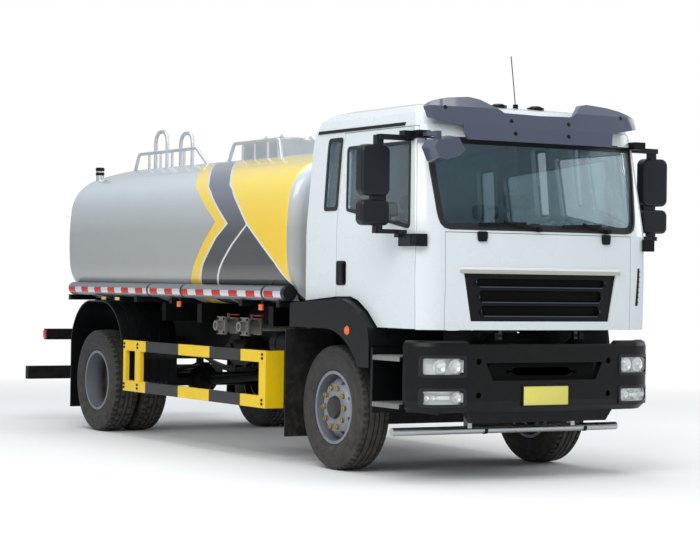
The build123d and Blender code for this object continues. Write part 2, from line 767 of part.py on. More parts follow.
cab_outer = cab_form(0)
cab_inner = cab_form(cab_wall)
door_inner = cab_form(door_wall, floor=False)

door_inner_y = 978
wheel_cut = [(-700, 1100), (-700, 1392), (-530, 1392), (30, 1436), (285, 1440), (405, 1410), (560, 1326),
             (712, 1200), (720, 1200), (720, 1100)]
door_points = [(45, 1437), (45, 2785), (1150, 2785), (1264, 2000), (1264, 1200), (712, 1200),
               (560, 1326), (405, 1410), (285, 1440)]
door_rear_trim = [(-50, 1100), (-50, 2900), (45 + door_swing_relief, 2900), (45 + door_swing_relief, 1100)]
window_points = [(125, 2660), (188, 2150), (1178, 1990), (1088, 2662)]
quarter_points = [(-205, 2745), (-185, 2155), (24, 2155), (16, 2745)]


def side_sketch(points, grow=0, radius=0):
    """A side-view outline from (x past the front axle, z) points, grown or rounded."""
    with BuildSketch(Plane.XZ) as outline:
        with BuildLine():
            Polyline(*[(front_axle_x + x, z) for x, z in points], close=True)
        make_face()
        if radius:
            fillet(outline.vertices(), radius=radius)
        if grow:
            offset(amount=grow, kind=Kind.INTERSECTION)
    return outline.sketch


def side_prism(sketch, inner_y, outer_y):
    """The outline as a solid between two distances from the centre line (signed by side)."""
    low = min(inner_y, outer_y)
    with BuildPart() as prism:
        extrude(sketch.moved(Location((0, low, 0))), amount=-abs(outer_y - inner_y))
    return prism.part


def front_sketch(points, radius=0, grow=0):
    """A front-view outline from (y, z) points of its left half, mirrored."""
    with BuildSketch(Plane.YZ) as outline:
        with BuildLine():
            right = [(-y, z) for y, z in reversed(points)]
            Polyline(*points, *right, close=True)
        make_face()
        if radius:
            fillet(outline.vertices().group_by(Axis.Y)[0] + outline.vertices().group_by(Axis.Y)[-1], radius=radius)
        if grow:
            offset(amount=grow, kind=Kind.INTERSECTION)
    return outline.sketch


def front_prism(sketch, rear_x, front_x):
    """The outline as a solid between two distances ahead of the front axle."""
    with BuildPart() as prism:
        extrude(sketch.moved(Location((front_axle_x + rear_x, 0, 0))), amount=front_x - rear_x)
    return prism.part


screen_points = [(860, 1985), (905, 1995), (935, 2022), (951, 2062), (960, 2110), (968, 2200), (990, 2450), (996, 2700)]
screen_prism = front_prism(front_sketch(screen_points), 900, 1700)
flap_prism = front_prism(front_sketch([(flap_half_width, 1190), (flap_half_width, flap_top_z)]), 1100, 1700)
flap_cut_prism = front_prism(
    front_sketch([(flap_half_width + 5, 1180), (flap_half_width + 5, flap_top_z + 5)]), 1100, 1700
)
flap_inner = cab_form(flap_wall, floor=False)
flap_recess = cab_form(flap_wall + 6, floor=False)

with BuildPart() as cab_shell:
    add(cab_outer)
    add(cab_inner, mode=Mode.SUBTRACT)
    add(screen_prism, mode=Mode.SUBTRACT)
    with BuildPart(mode=Mode.PRIVATE) as recess:
        add(cab_outer)
        add(flap_recess, mode=Mode.SUBTRACT)
        add(flap_cut_prism, mode=Mode.INTERSECT)
    add(recess.part, mode=Mode.SUBTRACT)
    for side in (1, -1):
        add(
            side_prism(side_sketch(door_points, grow=door_gap), side * door_inner_y, side * 1300),
            mode=Mode.SUBTRACT,
        )
        add(side_prism(side_sketch(quarter_points, radius=30), side * 900, side * 1300), mode=Mode.SUBTRACT)
        add(side_prism(side_sketch(wheel_cut), side * 1000, side * 1300), mode=Mode.SUBTRACT)
        with Locations((cab_pivot_x - 10, side * 370, 1168)):
            Box(40, 34, 96)
        with Locations(Location((cab_pivot_x, side * 370, cab_pivot_z), (90, 0, 0))):
            Cylinder(cab_pivot_radius + running_gap, 60, mode=Mode.SUBTRACT)
save(cab_shell, "cab_shell")

glass_outer = cab_form(12, floor=False)
glass_inner = cab_form(20, floor=False)
with BuildPart() as cab_glass:
    add(glass_outer)
    add(glass_inner, mode=Mode.SUBTRACT)
    with BuildPart(mode=Mode.PRIVATE) as glazed:
        add(screen_prism)
        for side in (1, -1):
            add(side_prism(side_sketch(quarter_points, radius=30), side * 900, side * 1300))
    add(glazed.part, mode=Mode.INTERSECT)
save(cab_glass, "cab_glass")

for side, hand in ((1, "left"), (-1, "right")):
    door_prism = side_prism(side_sketch(door_points), side * door_inner_y, side * 1300)
    window_prism = side_prism(side_sketch(window_points, radius=35), side * 900, side * 1300)
    with BuildPart() as door:
        add(cab_outer)
        add(door_inner, mode=Mode.SUBTRACT)
        add(door_prism, mode=Mode.INTERSECT)
        add(window_prism, mode=Mode.SUBTRACT)
        add(side_prism(side_sketch(door_rear_trim), side * 900, side * 1300), mode=Mode.SUBTRACT)
    save(door, f"door_{hand}")

    with BuildPart() as door_glass:
        add(window_prism)
        add(glass_outer, mode=Mode.INTERSECT)
        add(glass_inner, mode=Mode.SUBTRACT)
    save(door_glass, f"door_glass_{hand}")

    # Door mirror: two housings on a hoop from the upper and the lower hinge covers
    hinge_x = door_front_x + 2
    mirror_x = front_axle_x + 1040
    with BuildPart() as mirror_part:
        with Locations((mirror_x, side * 1375, 2430)):
            Box(110, 260, 400)
        fillet(mirror_part.edges().filter_by(Axis.X), radius=58)
        fillet(mirror_part.faces().filter_by(Axis.X).edges(), radius=24)
        with BuildPart(mode=Mode.PRIVATE) as lower_housing:
            with Locations((mirror_x, side * 1375, 2100)):
                Box(110, 260, 200)
            fillet(lower_housing.edges().filter_by(Axis.X), radius=50)
            fillet(lower_housing.faces().filter_by(Axis.X).edges(), radius=24)
        add(lower_housing.part)
        with Locations((mirror_x, side * 1330, 2215)):
            Box(60, 120, 60)
        with Locations((mirror_x + 60, side * 1200, 2690)):
            Box(60, 330, 40)
        with Locations((mirror_x + 25, side * 1345, 2660)):
            Box(60, 60, 90)
        with Locations((mirror_x + 60, side * 1265, 1955)):
            Box(60, 200, 34)
        with Locations((mirror_x + 25, side * 1345, 1975)):
            Box(60, 60, 70)
        with Locations((hinge_x - 95, side * 1140, 1890)):
            Box(180, 46, 96)
        with Locations((mirror_x + 70, side * 1160, 1940)):
            Box(60, 80, 60)
        with Locations((mirror_x + 80, side * 1100, 2715)):
            Box(80, 130, 60)
        add(cab_outer, mode=Mode.SUBTRACT)
    save(mirror_part, f"door_mirror_{hand}")

# Front flap: the panel below the windscreen with the grille's opening, and the louvred grille in it
grille_points = [(672, 1263), (740, 1638)]
grille_prism = front_prism(front_sketch(grille_points), 1200, 1700)
with BuildPart() as front_panel:
    add(cab_outer)
    add(flap_inner, mode=Mode.SUBTRACT)
    add(flap_prism, mode=Mode.INTERSECT)
    add(grille_prism, mode=Mode.SUBTRACT)
save(front_panel, "front_panel")

# Its three slots (low, high, width), each with a raised lip round its lower half
grille_slots = [(1538, 1600, 1240), (1418, 1508, 1182), (1308, 1388, 1140)]
slot_radius = 28
lip_width = 14
grille_face = cab_form(12, floor=False)
with BuildPart() as grille:
    add(grille_face)
    add(flap_inner, mode=Mode.SUBTRACT)
    add(grille_prism, mode=Mode.INTERSECT)
    with BuildPart(mode=Mode.PRIVATE) as slots:
        with BuildSketch(Plane.YZ.offset(front_axle_x + 1200)):
            for low, high, width in grille_slots:
                with Locations((0, (low + high) / 2)):
                    RectangleRounded(width, high - low, slot_radius)
        extrude(amount=500)
        add(cab_form(30, floor=False), mode=Mode.SUBTRACT)
    add(slots.part, mode=Mode.SUBTRACT)
    with BuildPart(mode=Mode.PRIVATE) as lips:
        with BuildSketch(Plane.YZ.offset(front_axle_x + 1200)):
            for low, high, width in grille_slots:
                middle = (low + high) / 2
                with Locations((0, middle)):
                    RectangleRounded(width + 2 * lip_width, high - low + 2 * lip_width, slot_radius + lip_width)
                with Locations((0, middle)):
                    RectangleRounded(width, high - low, slot_radius, mode=Mode.SUBTRACT)
                with Locations((0, middle + 50)):
                    Rectangle(width + 80, 100, mode=Mode.SUBTRACT)
        extrude(amount=500)
        add(cab_form(2, floor=False), mode=Mode.INTERSECT)
        add(cab_form(14, floor=False), mode=Mode.SUBTRACT)
    add(lips.part)
save(grille, "grille")

# Sun visor: a shell that follows the cab's upper front, dipped in the middle
visor_points = [(0, 2683), (700, 2685), (728, 2796), (1008, 2846), (1014, 2936), (955, 2972), (883, 2998),
                (783, 3020), (580, 3037), (490, 3017), (330, 2913), (0, 2906)]
with BuildSketch(Plane.YZ) as visor_view:
    with BuildLine():
        Polyline(*visor_points)
        mirror(about=Plane.YZ)
    make_face()
visor_prism = front_prism(visor_view.sketch, 980, 1700)
with BuildPart() as sun_visor:
    add(cab_form(-90))
    add(cab_form(-62), mode=Mode.SUBTRACT)
    add(visor_prism, mode=Mode.INTERSECT)
    with BuildPart(mode=Mode.PRIVATE) as feet:
        add(cab_form(-64))
        add(cab_outer, mode=Mode.SUBTRACT)
        with BuildPart(mode=Mode.PRIVATE) as foot_blocks:
            for y, z in ((-880, 2890), (-300, 2815), (300, 2815), (880, 2890)):
                with Locations((front_axle_x + 1300, y, z)):
                    Box(400, 50, 60)
        add(foot_blocks.part, mode=Mode.INTERSECT)
    add(feet.part)
save(sun_visor, "sun_visor")

# Wheel arches on the cab: a deep plastic band outside and a thin liner over the tyre
arch_radius = 655
with BuildPart() as wheel_arches:
    for side in (1, -1):
        for wall_top, low_y, high_y in ((None, 1005, 1200), (15, 620, 1005)):
            with BuildSketch(Plane.XZ) as band:
                with BuildLine():
                    Line((front_axle_x - 600, axle_z + arch_radius), (front_axle_x, axle_z + arch_radius))
                    ThreePointArc(
                        (front_axle_x, axle_z + arch_radius),
                        (front_axle_x + 463, axle_z + 463),
                        (front_axle_x + 548, axle_z + 359),
                    )
                    if wall_top:
                        Line((front_axle_x + 548, axle_z + 359), (front_axle_x + 560, axle_z + 368))
                        ThreePointArc(
                            (front_axle_x + 560, axle_z + 368),
                            (front_axle_x + 474, axle_z + 474),
                            (front_axle_x, axle_z + arch_radius + wall_top),
                        )
                        Polyline(
                            (front_axle_x, axle_z + arch_radius + wall_top),
                            (front_axle_x - 600, axle_z + arch_radius + wall_top),
                            (front_axle_x - 600, axle_z + arch_radius),
                        )
                    else:
                        Polyline(
                            (front_axle_x + 548, axle_z + 359), (front_axle_x + 718, axle_z + 359),
                            (front_axle_x + 716, 1058), (front_axle_x + 690, 1196),
                            (front_axle_x + 547, 1315), (front_axle_x + 400, 1387),
                            (front_axle_x + 280, 1420), (front_axle_x - 530, 1380),
                            (front_axle_x - 600, 1370), (front_axle_x - 600, axle_z + arch_radius),
                        )
                make_face()
            add(side_prism(band.sketch, side * low_y, side * high_y))
        with Locations((front_axle_x - 250, side * 820, 1188)):
            Box(120, 200, 14)
    add(cab_shell.part, mode=Mode.SUBTRACT)
save(wheel_arches, "wheel_arches")

# Kerb mirror over the right front corner, on a short arm from the pillar
kerb_hood = [(-1163, 2600), (-1116, 2672), (-903, 2705), (-827, 2577), (-900, 2515), (-1031, 2481), (-1110, 2492)]
with BuildPart() as kerb_mirror:
    with BuildSketch(Plane.YZ.offset(front_axle_x + 1405)) as hood_outline:
        with BuildLine():
            Polyline(*kerb_hood, close=True)
        make_face()
        fillet(hood_outline.vertices(), radius=18)
    extrude(amount=150, taper=9)
    with BuildPart(mode=Mode.PRIVATE) as kerb_arm:
        with Locations((front_axle_x + 1330, -1050, 2712)):
            Box(290, 44, 34)
        with Locations((front_axle_x + 1455, -1050, 2690)):
            Box(44, 44, 60)
        add(cab_outer, mode=Mode.SUBTRACT)
    add(kerb_arm.part)
save(kerb_mirror, "kerb_mirror")

# Seats: base, cushion and back for the driver and the mate
seat_y = 520
with BuildPart() as seats:
    for side in (1, -1):
        with Locations((front_axle_x + 120, side * seat_y, 1365)):
            Box(420, 380, 220)
        with BuildPart(mode=Mode.PRIVATE) as cushion:
            with Locations((front_axle_x + 130, side * seat_y, 1540)):
                Box(520, 500, 130)
            fillet(cushion.edges(), radius=40)
        add(cushion.part)
        with BuildPart(mode=Mode.PRIVATE) as seat_back:
            with Locations(Location((front_axle_x - 150, side * seat_y, 1900), (0, -10, 0))):
                Box(120, 480, 720)
            fillet(seat_back.edges(), radius=40)
        add(seat_back.part)
save(seats, "seats")

# Dashboard across the cab, and the steering column and wheel on the left
wheel_centre = (front_axle_x + 720, seat_y, 1990)
wheel_tilt = 32
with BuildPart() as dashboard:
    add(side_prism(side_sketch([(1330, 1935), (1330, 1500), (1140, 1500), (960, 1640), (930, 1830), (1060, 1935)]),
                   -960, 960))
    add(cab_inner, mode=Mode.INTERSECT)
    with Locations(Location(wheel_centre, (0, -wheel_tilt, 0))):
        Torus(225, 15)
        Cylinder(70, 36)
        Box(430, 44, 20)
        with Locations((0, 0, -230)):
            Cylinder(32, 460)
save(dashboard, "dashboard")

# Wipers: a pivot cap between the flap and the windscreen, an arm and a blade along the windscreen's foot


def wiper_strip(points, near, far):
    """A strip of the cab's front skin between two outsets, cut to a front-view quadrilateral."""
    with BuildSketch(Plane.YZ) as strip:
        with BuildLine():
            Polyline(*points, close=True)
        make_face()
    with BuildPart() as band:
        add(cab_form(-far))
        add(cab_form(-near), mode=Mode.SUBTRACT)
        add(front_prism(strip.sketch, 1100, 1700), mode=Mode.INTERSECT)
    return band.part


wiper_z = 1992
wiper_rows = [(-60, -600, -170), (630, 190, 585)]
with BuildPart() as wipers:
    for pivot_y, blade_low, blade_high in wiper_rows:
        middle = (blade_low + blade_high) / 2
        with Locations(Location((front_axle_x + 1400, pivot_y, wiper_z), (0, 90, 0))):
            Cylinder(20, 80)
        add(wiper_strip(
            [(pivot_y, wiper_z - 10), (pivot_y, wiper_z + 12), (middle, 2056), (middle, 2040)], 14, 26
        ))
        add(wiper_strip(
            [(blade_low, 2014), (blade_low, 2036), (blade_high, 2050), (blade_high, 2028)], 2, 15
        ))
    add(cab_outer, mode=Mode.SUBTRACT)
save(wipers, "wipers")

# Cab trim: gutter strips, two lamp domes, the whip aerial and the fixed halves of the door hinge covers
with BuildPart() as cab_trim:
    add(cab_form(-10))
    add(cab_outer, mode=Mode.SUBTRACT)
    with BuildPart(mode=Mode.PRIVATE) as strip_blocks:
        with Locations((front_axle_x + 285, 0, 2812)):
            Box(1380, 2400, 26)
    add(strip_blocks.part, mode=Mode.INTERSECT)
    for y in (-130, 240):
        with Locations((front_axle_x + 930, y, 2992)):
            Cylinder(70, 32)
        with Locations((front_axle_x + 930, y, 3014)):
            Cone(62, 36, 14)
    with Locations((front_axle_x + 930, 40, 3000)):
        Cylinder(22, 50)
    with Locations(Location((front_axle_x + 905, 32, 3215), (2, -7, 0))):
        Cylinder(4, 420)
    for side in (1, -1):
        with Locations((front_axle_x + 1310, side * 1112, 1890)):
            Box(78, 102, 96)
        with Locations((front_axle_x + 1235, side * 1055, 2715)):
            Box(90, 110, 60)
    add(cab_outer, mode=Mode.SUBTRACT)
    add(kerb_mirror.part, mode=Mode.SUBTRACT)
save(cab_trim, "cab_trim")
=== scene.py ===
# %% [markdown]
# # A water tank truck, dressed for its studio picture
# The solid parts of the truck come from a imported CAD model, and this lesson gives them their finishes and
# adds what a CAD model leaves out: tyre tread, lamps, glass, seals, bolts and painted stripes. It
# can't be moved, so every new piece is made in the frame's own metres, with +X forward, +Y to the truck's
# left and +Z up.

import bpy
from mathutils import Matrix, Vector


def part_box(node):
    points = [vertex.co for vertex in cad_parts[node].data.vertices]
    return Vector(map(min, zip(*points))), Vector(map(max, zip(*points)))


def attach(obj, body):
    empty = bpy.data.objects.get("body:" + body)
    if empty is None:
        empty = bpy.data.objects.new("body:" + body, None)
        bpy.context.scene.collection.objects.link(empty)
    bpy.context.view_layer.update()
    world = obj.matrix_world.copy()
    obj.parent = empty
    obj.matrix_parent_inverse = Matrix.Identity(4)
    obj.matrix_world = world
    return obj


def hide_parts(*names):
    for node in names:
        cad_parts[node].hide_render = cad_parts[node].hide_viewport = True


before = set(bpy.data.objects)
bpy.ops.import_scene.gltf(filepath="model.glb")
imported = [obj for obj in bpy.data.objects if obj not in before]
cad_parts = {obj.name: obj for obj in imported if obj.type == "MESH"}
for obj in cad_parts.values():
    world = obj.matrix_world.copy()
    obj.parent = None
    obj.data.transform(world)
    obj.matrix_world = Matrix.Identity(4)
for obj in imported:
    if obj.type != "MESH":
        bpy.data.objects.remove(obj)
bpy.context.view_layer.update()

# %% [markdown]
# `bmesh` holds Blender's mesh operators, and `mathutils` does the sums with points and turns.

# %% Modules
import math

import bmesh
import bpy
from mathutils import Matrix, Vector

print("Blender", bpy.app.version_string)

# %% [markdown]
# ## Camera, floor and light
# The camera stands ahead of the truck's right front corner, at eye height, with a long lens. Its place
# was worked out from the wheels' outlines, so the truck fills the picture as it should. A camera looks
# along its own -Z, so its matrix is built from three axes: right, up and backwards. Angles are in radians.

# %% Camera
FRONT_AXLE_X = 2.56
AXLE_Z = 0.517
LENS_PIXELS = 2049.04
PICTURE_WIDTH = 700
SENSOR_MM = 36
CAMERA_PLACE = (17.2715, -9.5614, 1.5642)
CAMERA_YAW = 2.6126
CAMERA_PITCH = 0.003
CAMERA_ROLL = 0.0137


def camera_matrix(place, yaw, pitch, roll):
    forward = Vector((math.cos(yaw) * math.cos(pitch), math.sin(yaw) * math.cos(pitch), math.sin(pitch)))
    level = Vector((math.sin(yaw), -math.cos(yaw), 0))
    above = level.cross(forward)
    right = level * math.cos(roll) + above * math.sin(roll)
    up = above * math.cos(roll) - level * math.sin(roll)
    turn = Matrix((right, up, -forward)).transposed().to_4x4()
    return Matrix.Translation(place) @ turn


scene = bpy.context.scene
camera_data = bpy.data.cameras.new("camera")
camera_data.sensor_width = SENSOR_MM
camera_data.lens = LENS_PIXELS * SENSOR_MM / PICTURE_WIDTH
camera = bpy.data.objects.new("camera", camera_data)
camera.matrix_world = camera_matrix(CAMERA_PLACE, CAMERA_YAW, CAMERA_PITCH, CAMERA_ROLL)
scene.collection.objects.link(camera)
scene.camera = camera
print("lens", round(camera_data.lens, 1), "mm")

# %% [markdown]
# The light is a plain soft studio: a pale sky all round, one very large lamp above and in front, and two
# weaker ones. Large lamps give soft edges to the shadows and long smooth highlights on the paint. The sky
# that the camera sees directly is pure white, which Light Path's Is Camera Ray allows without adding any
# light to the truck.

# %% Lamps and sky
def area_lamp(name, place, target, size, watts):
    data = bpy.data.lights.new(name, "AREA")
    data.shape = "RECTANGLE"
    data.size, data.size_y = size
    data.energy = watts
    lamp = bpy.data.objects.new(name, data)
    aim = (Vector(target) - Vector(place)).to_track_quat("-Z", "Y")
    lamp.matrix_world = Matrix.Translation(place) @ aim.to_matrix().to_4x4()
    scene.collection.objects.link(lamp)


# Name, place, what it points at, size and watts.
LAMPS = [("key", (9, -9, 9), (0, 0, 1.5), (9, 7), 930),
         ("overhead", (0, 0, 12), (0, 0, 0), (14, 9), 760),
         ("left_fill", (4, 12, 6), (0, 0, 1.5), (9, 6), 420)]
SKY_COLOUR = (0.86, 0.93, 1.0, 1)
SKY_STRENGTH = 0.55
WHITE = (1, 1, 1, 1)
for lamp_settings in LAMPS:
    area_lamp(*lamp_settings)

world = bpy.data.worlds.new("studio")
world.use_nodes = True
scene.world = world
sky = world.node_tree
lit_sky = sky.nodes["Background"]
lit_sky.inputs["Color"].default_value = SKY_COLOUR
lit_sky.inputs["Strength"].default_value = SKY_STRENGTH
seen_sky = sky.nodes.new("ShaderNodeBackground")
seen_sky.inputs["Color"].default_value = WHITE
light_path = sky.nodes.new("ShaderNodeLightPath")
choose_sky = sky.nodes.new("ShaderNodeMixShader")
sky.links.new(light_path.outputs["Is Camera Ray"], choose_sky.inputs[0])
sky.links.new(lit_sky.outputs[0], choose_sky.inputs[1])
sky.links.new(seen_sky.outputs[0], choose_sky.inputs[2])
sky.links.new(choose_sky.outputs[0], sky.nodes["World Output"].inputs["Surface"])
scene.view_settings.view_transform = "Standard"

# %% [markdown]
# ## Finishes
# A finish is a small tree of nodes. A few helpers keep the trees readable: `put` makes a node and fills or
# links its sockets by name, `calc` makes a Math node, and `mix` and `ramp` blend two colours and rescale a
# value. Every pattern reads Object coordinates, which are metres on the truck itself, so nothing slides when
# a door opens or the camera moves.

# %% Node helpers
def put(tree, kind, settings=None, **sockets):
    node = tree.nodes.new("ShaderNode" + kind)
    for key, value in (settings or {}).items():
        setattr(node, key, value)
    for key, value in sockets.items():
        link(tree, value, node.inputs[key.replace("_", " ")])
    return node


def link(tree, value, socket):
    if isinstance(value, bpy.types.NodeSocket):
        tree.links.new(value, socket)
    else:
        socket.default_value = value


def calc(tree, operation, a, b=0.0, clamp=False):
    node = tree.nodes.new("ShaderNodeMath")
    node.operation = operation
    node.use_clamp = clamp
    link(tree, a, node.inputs[0])
    link(tree, b, node.inputs[1])
    return node.outputs[0]


def mix(tree, factor, a, b):
    node = tree.nodes.new("ShaderNodeMix")
    node.data_type = "RGBA"
    for socket, value in ((node.inputs[0], factor), (node.inputs[6], a), (node.inputs[7], b)):
        link(tree, value, socket)
    return node.outputs[2]


def ramp(tree, value, low, high, to_low=0.0, to_high=1.0):
    node = put(tree, "MapRange", Value=value, From_Min=low, From_Max=high, To_Min=to_low, To_Max=to_high)
    return node.outputs[0]


def shade(red, green, blue):
    """A linear colour from the 0-255 numbers a colour picker shows."""
    def linear(v):
        v = v / 255
        return v / 12.92 if v <= 0.04045 else ((v + 0.055) / 1.055) ** 2.4
    return (linear(red), linear(green), linear(blue), 1)


def scaled(colour, amount):
    return tuple(min(1, c * amount) for c in colour[:3]) + (1,)


print("middle grey is", round(shade(128, 128, 128)[0], 3), "in linear light")

# %% [markdown]
# Most finishes here are one recipe with different numbers: a base colour with faint cloudy variation, road
# dust that thickens towards the ground, and a fine bump. Noise at several sizes does all three. A broad
# noise changes the colour, a middle one breaks up the dust, and a fine one is the grain you would feel.

# %% The main recipe
DUST = shade(122, 112, 98)


def start_material(name):
    material = bpy.data.materials.new(name)
    material.use_nodes = True
    tree = material.node_tree
    shader = tree.nodes["Principled BSDF"]
    place = put(tree, "TexCoord").outputs["Object"]
    return material, tree, shader, place


def noise(tree, place, scale, detail=3, roughness=0.5):
    node = put(tree, "TexNoise", Vector=place, Scale=scale, Detail=detail, Roughness=roughness)
    return node.outputs[0]


def finish(name, colour, rough, metal=0.0, coat=0.0, cloud=0.06, cloud_size=2.5, grain=400, depth=0.0002,
           dust=0.15, dust_top=1.3, base=None, gloss=0.5):
    """One painted, moulded or metal surface. base may be a function that gives a patterned colour."""
    material, tree, shader, place = start_material(name)
    start = base(tree, place) if base else colour
    clouds = noise(tree, place, cloud_size, 5)
    if base:
        tone = mix(tree, ramp(tree, clouds, 0.3, 0.7, 0, cloud), start, scaled(DUST, 0.7))
    else:
        tone = mix(tree, ramp(tree, clouds, 0.3, 0.7), scaled(colour, 1 - cloud), scaled(colour, 1 + cloud))
    height = put(tree, "SeparateXYZ", Vector=place).outputs["Z"]
    low = ramp(tree, height, dust_top, 0.1, 0.12, 1)
    specks = ramp(tree, noise(tree, place, 14, 6, 0.65), 0.4, 0.72)
    dirt = calc(tree, "MULTIPLY", calc(tree, "MULTIPLY", low, specks), dust, clamp=True)
    link(tree, mix(tree, dirt, tone, DUST), shader.inputs["Base Color"])
    link(tree, ramp(tree, calc(tree, "ADD", dirt, calc(tree, "MULTIPLY", clouds, 0.1)), 0, 1, rough, 0.9),
         shader.inputs["Roughness"])
    shader.inputs["Metallic"].default_value = metal
    shader.inputs["Specular IOR Level"].default_value = gloss
    shader.inputs["Coat Weight"].default_value = coat
    shader.inputs["Coat Roughness"].default_value = 0.05
    bump = put(tree, "Bump", Height=noise(tree, place, grain, 2), Distance=depth, Strength=0.5)
    link(tree, bump.outputs[0], shader.inputs["Normal"])
    return material


print("dust colour:", [round(c, 3) for c in DUST])

# %% [markdown]
# The CAD nodes whose shape is right keep it and only get a finish. `dress` fills their material slots. The
# plastics differ in how grey and how glossy they are, and the metals in how much they mirror.

# %% Plain finishes
def dress(material, *nodes):
    """Gives CAD nodes one finish."""
    for name in nodes:
        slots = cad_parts[name].data.materials
        slots.clear()
        slots.append(material)


black_plastic = finish("black_plastic", shade(9, 11, 15), 0.36, grain=900, depth=0.0003, dust=0.03,
                       gloss=0.24)
mirror_plastic = finish("mirror_plastic", shade(21, 24, 31), 0.34, grain=900, depth=0.0003, dust=0.02,
                        gloss=0.36)
visor_slate = finish("visor_slate", shade(68, 74, 92), 0.2, coat=0.7, cloud=0.03, dust=0.03)
frame_black = finish("frame_black", shade(9, 9, 10), 0.5, cloud=0.3, grain=150, depth=0.0005, dust=0.07,
                     gloss=0.25)
engine_iron = finish("engine_iron", shade(58, 58, 58), 0.6, metal=0.4, cloud=0.3, grain=120, depth=0.001,
                     dust=0.5)
rubber = finish("flap_rubber", shade(19, 19, 20), 0.75, grain=250, depth=0.0006, dust=0.22, gloss=0.3)
bright_steel = finish("bright_steel", shade(186, 188, 190), 0.24, metal=1, cloud=0.05, grain=40,
                      depth=0.00003, dust=0.1)
rail_silver = finish("rail_silver", shade(206, 209, 210), 0.35, metal=0.6, cloud=0.08, dust=0.1)
rim_silver = finish("rim_silver", shade(142, 147, 156), 0.42, metal=0.55, cloud=0.1, depth=0.0003, dust=0.5)
dash_grey = finish("dash_grey", shade(48, 53, 57), 0.6, grain=500, dust=0.0)

dress(black_plastic, "bumper", "wheel_arches", "rear_mudguards", "entry_steps", "grille", "wipers",
      "cab_trim")
dress(mirror_plastic, "door_mirror_left", "door_mirror_right")
dress(visor_slate, "sun_visor", "kerb_mirror")
dress(frame_black, "chassis_frame", "front_axle_beam", "rear_axle", "leaf_springs", "drive_line",
      "tank_sills", "tank_saddles", "frame_side_tanks", "rear_beams", "knuckle_left", "knuckle_right",
      "tie_rod")
dress(engine_iron, "engine_block")
dress(rubber, "front_mud_flaps")
dress(bright_steel, "spray_pipe")
dress(rail_silver, "tank_top_fittings", "manway_lid", "rear_ladder")
dress(rim_silver, "front_rim_left", "front_rim_right")
dress(dash_grey, "dashboard")
print("plain finishes:", len(bpy.data.materials))

# %% [markdown]
# ### Painted patterns
# The tank's stripes are paint, so they belong in its material. Each edge is a line that leans forward or
# back as it climbs: `edge` turns a few (height, x) points into the edge's x at every height, and comparing
# it with the surface's own x gives a clean mask of 0 or 1. Two masks multiplied hold where both do.

# %% Masks
def axes(tree, place):
    """The x, y and z of a surface point as three sockets."""
    return put(tree, "SeparateXYZ", Vector=place).outputs[:]


def size_of(tree, value):
    return calc(tree, "ABSOLUTE", value)


def above(tree, value, limit):
    return calc(tree, "GREATER_THAN", value, limit)


def below(tree, value, limit):
    return calc(tree, "LESS_THAN", value, limit)


def both(tree, a, b):
    return calc(tree, "MULTIPLY", a, b)


def edge(tree, height, points, base=FRONT_AXLE_X):
    """The x of a painted edge at every height, straight between (height, x past the front axle) points."""
    total = points[0][1] + base
    for (z0, x0), (z1, x1) in zip(points, points[1:]):
        total = calc(tree, "ADD", ramp(tree, height, z0, z1, 0, x1 - x0), total)
    return total


def band_mask(tree, x, line, half):
    return below(tree, size_of(tree, calc(tree, "SUBTRACT", x, line)), half)


print("mask helpers ready")

# %% [markdown]
# The tank has a dark band between two yellow fields, with white lines on its edges and a second white line
# inside it. Over the rounded shoulder the stripes lean back, so x is shifted there before it is compared.
# The silver, the yellow and the dark band turn lighter towards the top: a painted reflection of the sky.

# %% The tank's stripes
CHEVRON_REAR = [(1.50, -2.691), (1.531, -2.659), (1.614, -2.573), (1.76, -2.431), (1.897, -2.289),
                (2.089, -2.045), (2.278, -2.345), (2.42, -2.56)]
CHEVRON_FRONT = [(1.50, -2.478), (1.533, -2.451), (1.713, -2.303), (1.942, -2.032), (2.068, -1.809),
                 (2.224, -2.039), (2.388, -2.268), (2.42, -2.30)]
BAND_FRONT = [(1.50, -0.651), (1.538, -0.695), (1.712, -0.897), (1.914, -1.198), (2.061, -1.424),
              (2.225, -1.609), (2.42, -1.85)]
SECOND_LINE = [(1.50, -2.123), (1.535, -2.096), (1.60, -2.037), (1.731, -1.90), (1.874, -1.711),
               (2.053, -1.423)]
SECOND_LINE_TOP = 2.06
SHOULDER_Y = 1.150
SHOULDER_Z = 2.2
SHOULDER_LEAN = 1.75
PAINT_TOP = 2.70
PAINT_FRONT = -0.69
LINE_HALF = 0.018


def tank_paint(tree, place):
    own_x, y, z = axes(tree, place)
    over = calc(tree, "MAXIMUM", calc(tree, "SUBTRACT", SHOULDER_Y, size_of(tree, y)), 0.0)
    over = both(tree, over, above(tree, z, SHOULDER_Z))
    x = calc(tree, "ADD", own_x, both(tree, over, SHOULDER_LEAN))
    # Painted reflection: each colour is mixed lighter towards the top, where the sky would show in the
    # gloss.
    high = ramp(tree, z, 2.02, 2.46)
    silver = mix(tree, high, shade(163, 165, 163), shade(204, 211, 217))
    yellow = mix(tree, high, shade(247, 205, 24), shade(251, 222, 92))
    dark = mix(tree, ramp(tree, z, 1.95, 2.35), shade(52, 52, 54), shade(112, 116, 132))
    line_white = shade(225, 226, 222)
    rear, middle, front, second = (edge(tree, z, line) for line in
                                   (CHEVRON_REAR, CHEVRON_FRONT, BAND_FRONT, SECOND_LINE))
    colour = mix(tree, above(tree, x, rear), silver, yellow)
    colour = mix(tree, above(tree, x, middle), colour, dark)
    second_mask = both(tree, band_mask(tree, x, second, LINE_HALF), below(tree, z, SECOND_LINE_TOP))
    colour = mix(tree, second_mask, colour, line_white)
    colour = mix(tree, above(tree, x, front), colour, yellow)
    for line in (middle, front):
        colour = mix(tree, band_mask(tree, x, line, LINE_HALF), colour, line_white)
    bare = calc(tree, "MAXIMUM", above(tree, own_x, FRONT_AXLE_X + PAINT_FRONT), above(tree, z, PAINT_TOP))
    return mix(tree, bare, colour, silver)


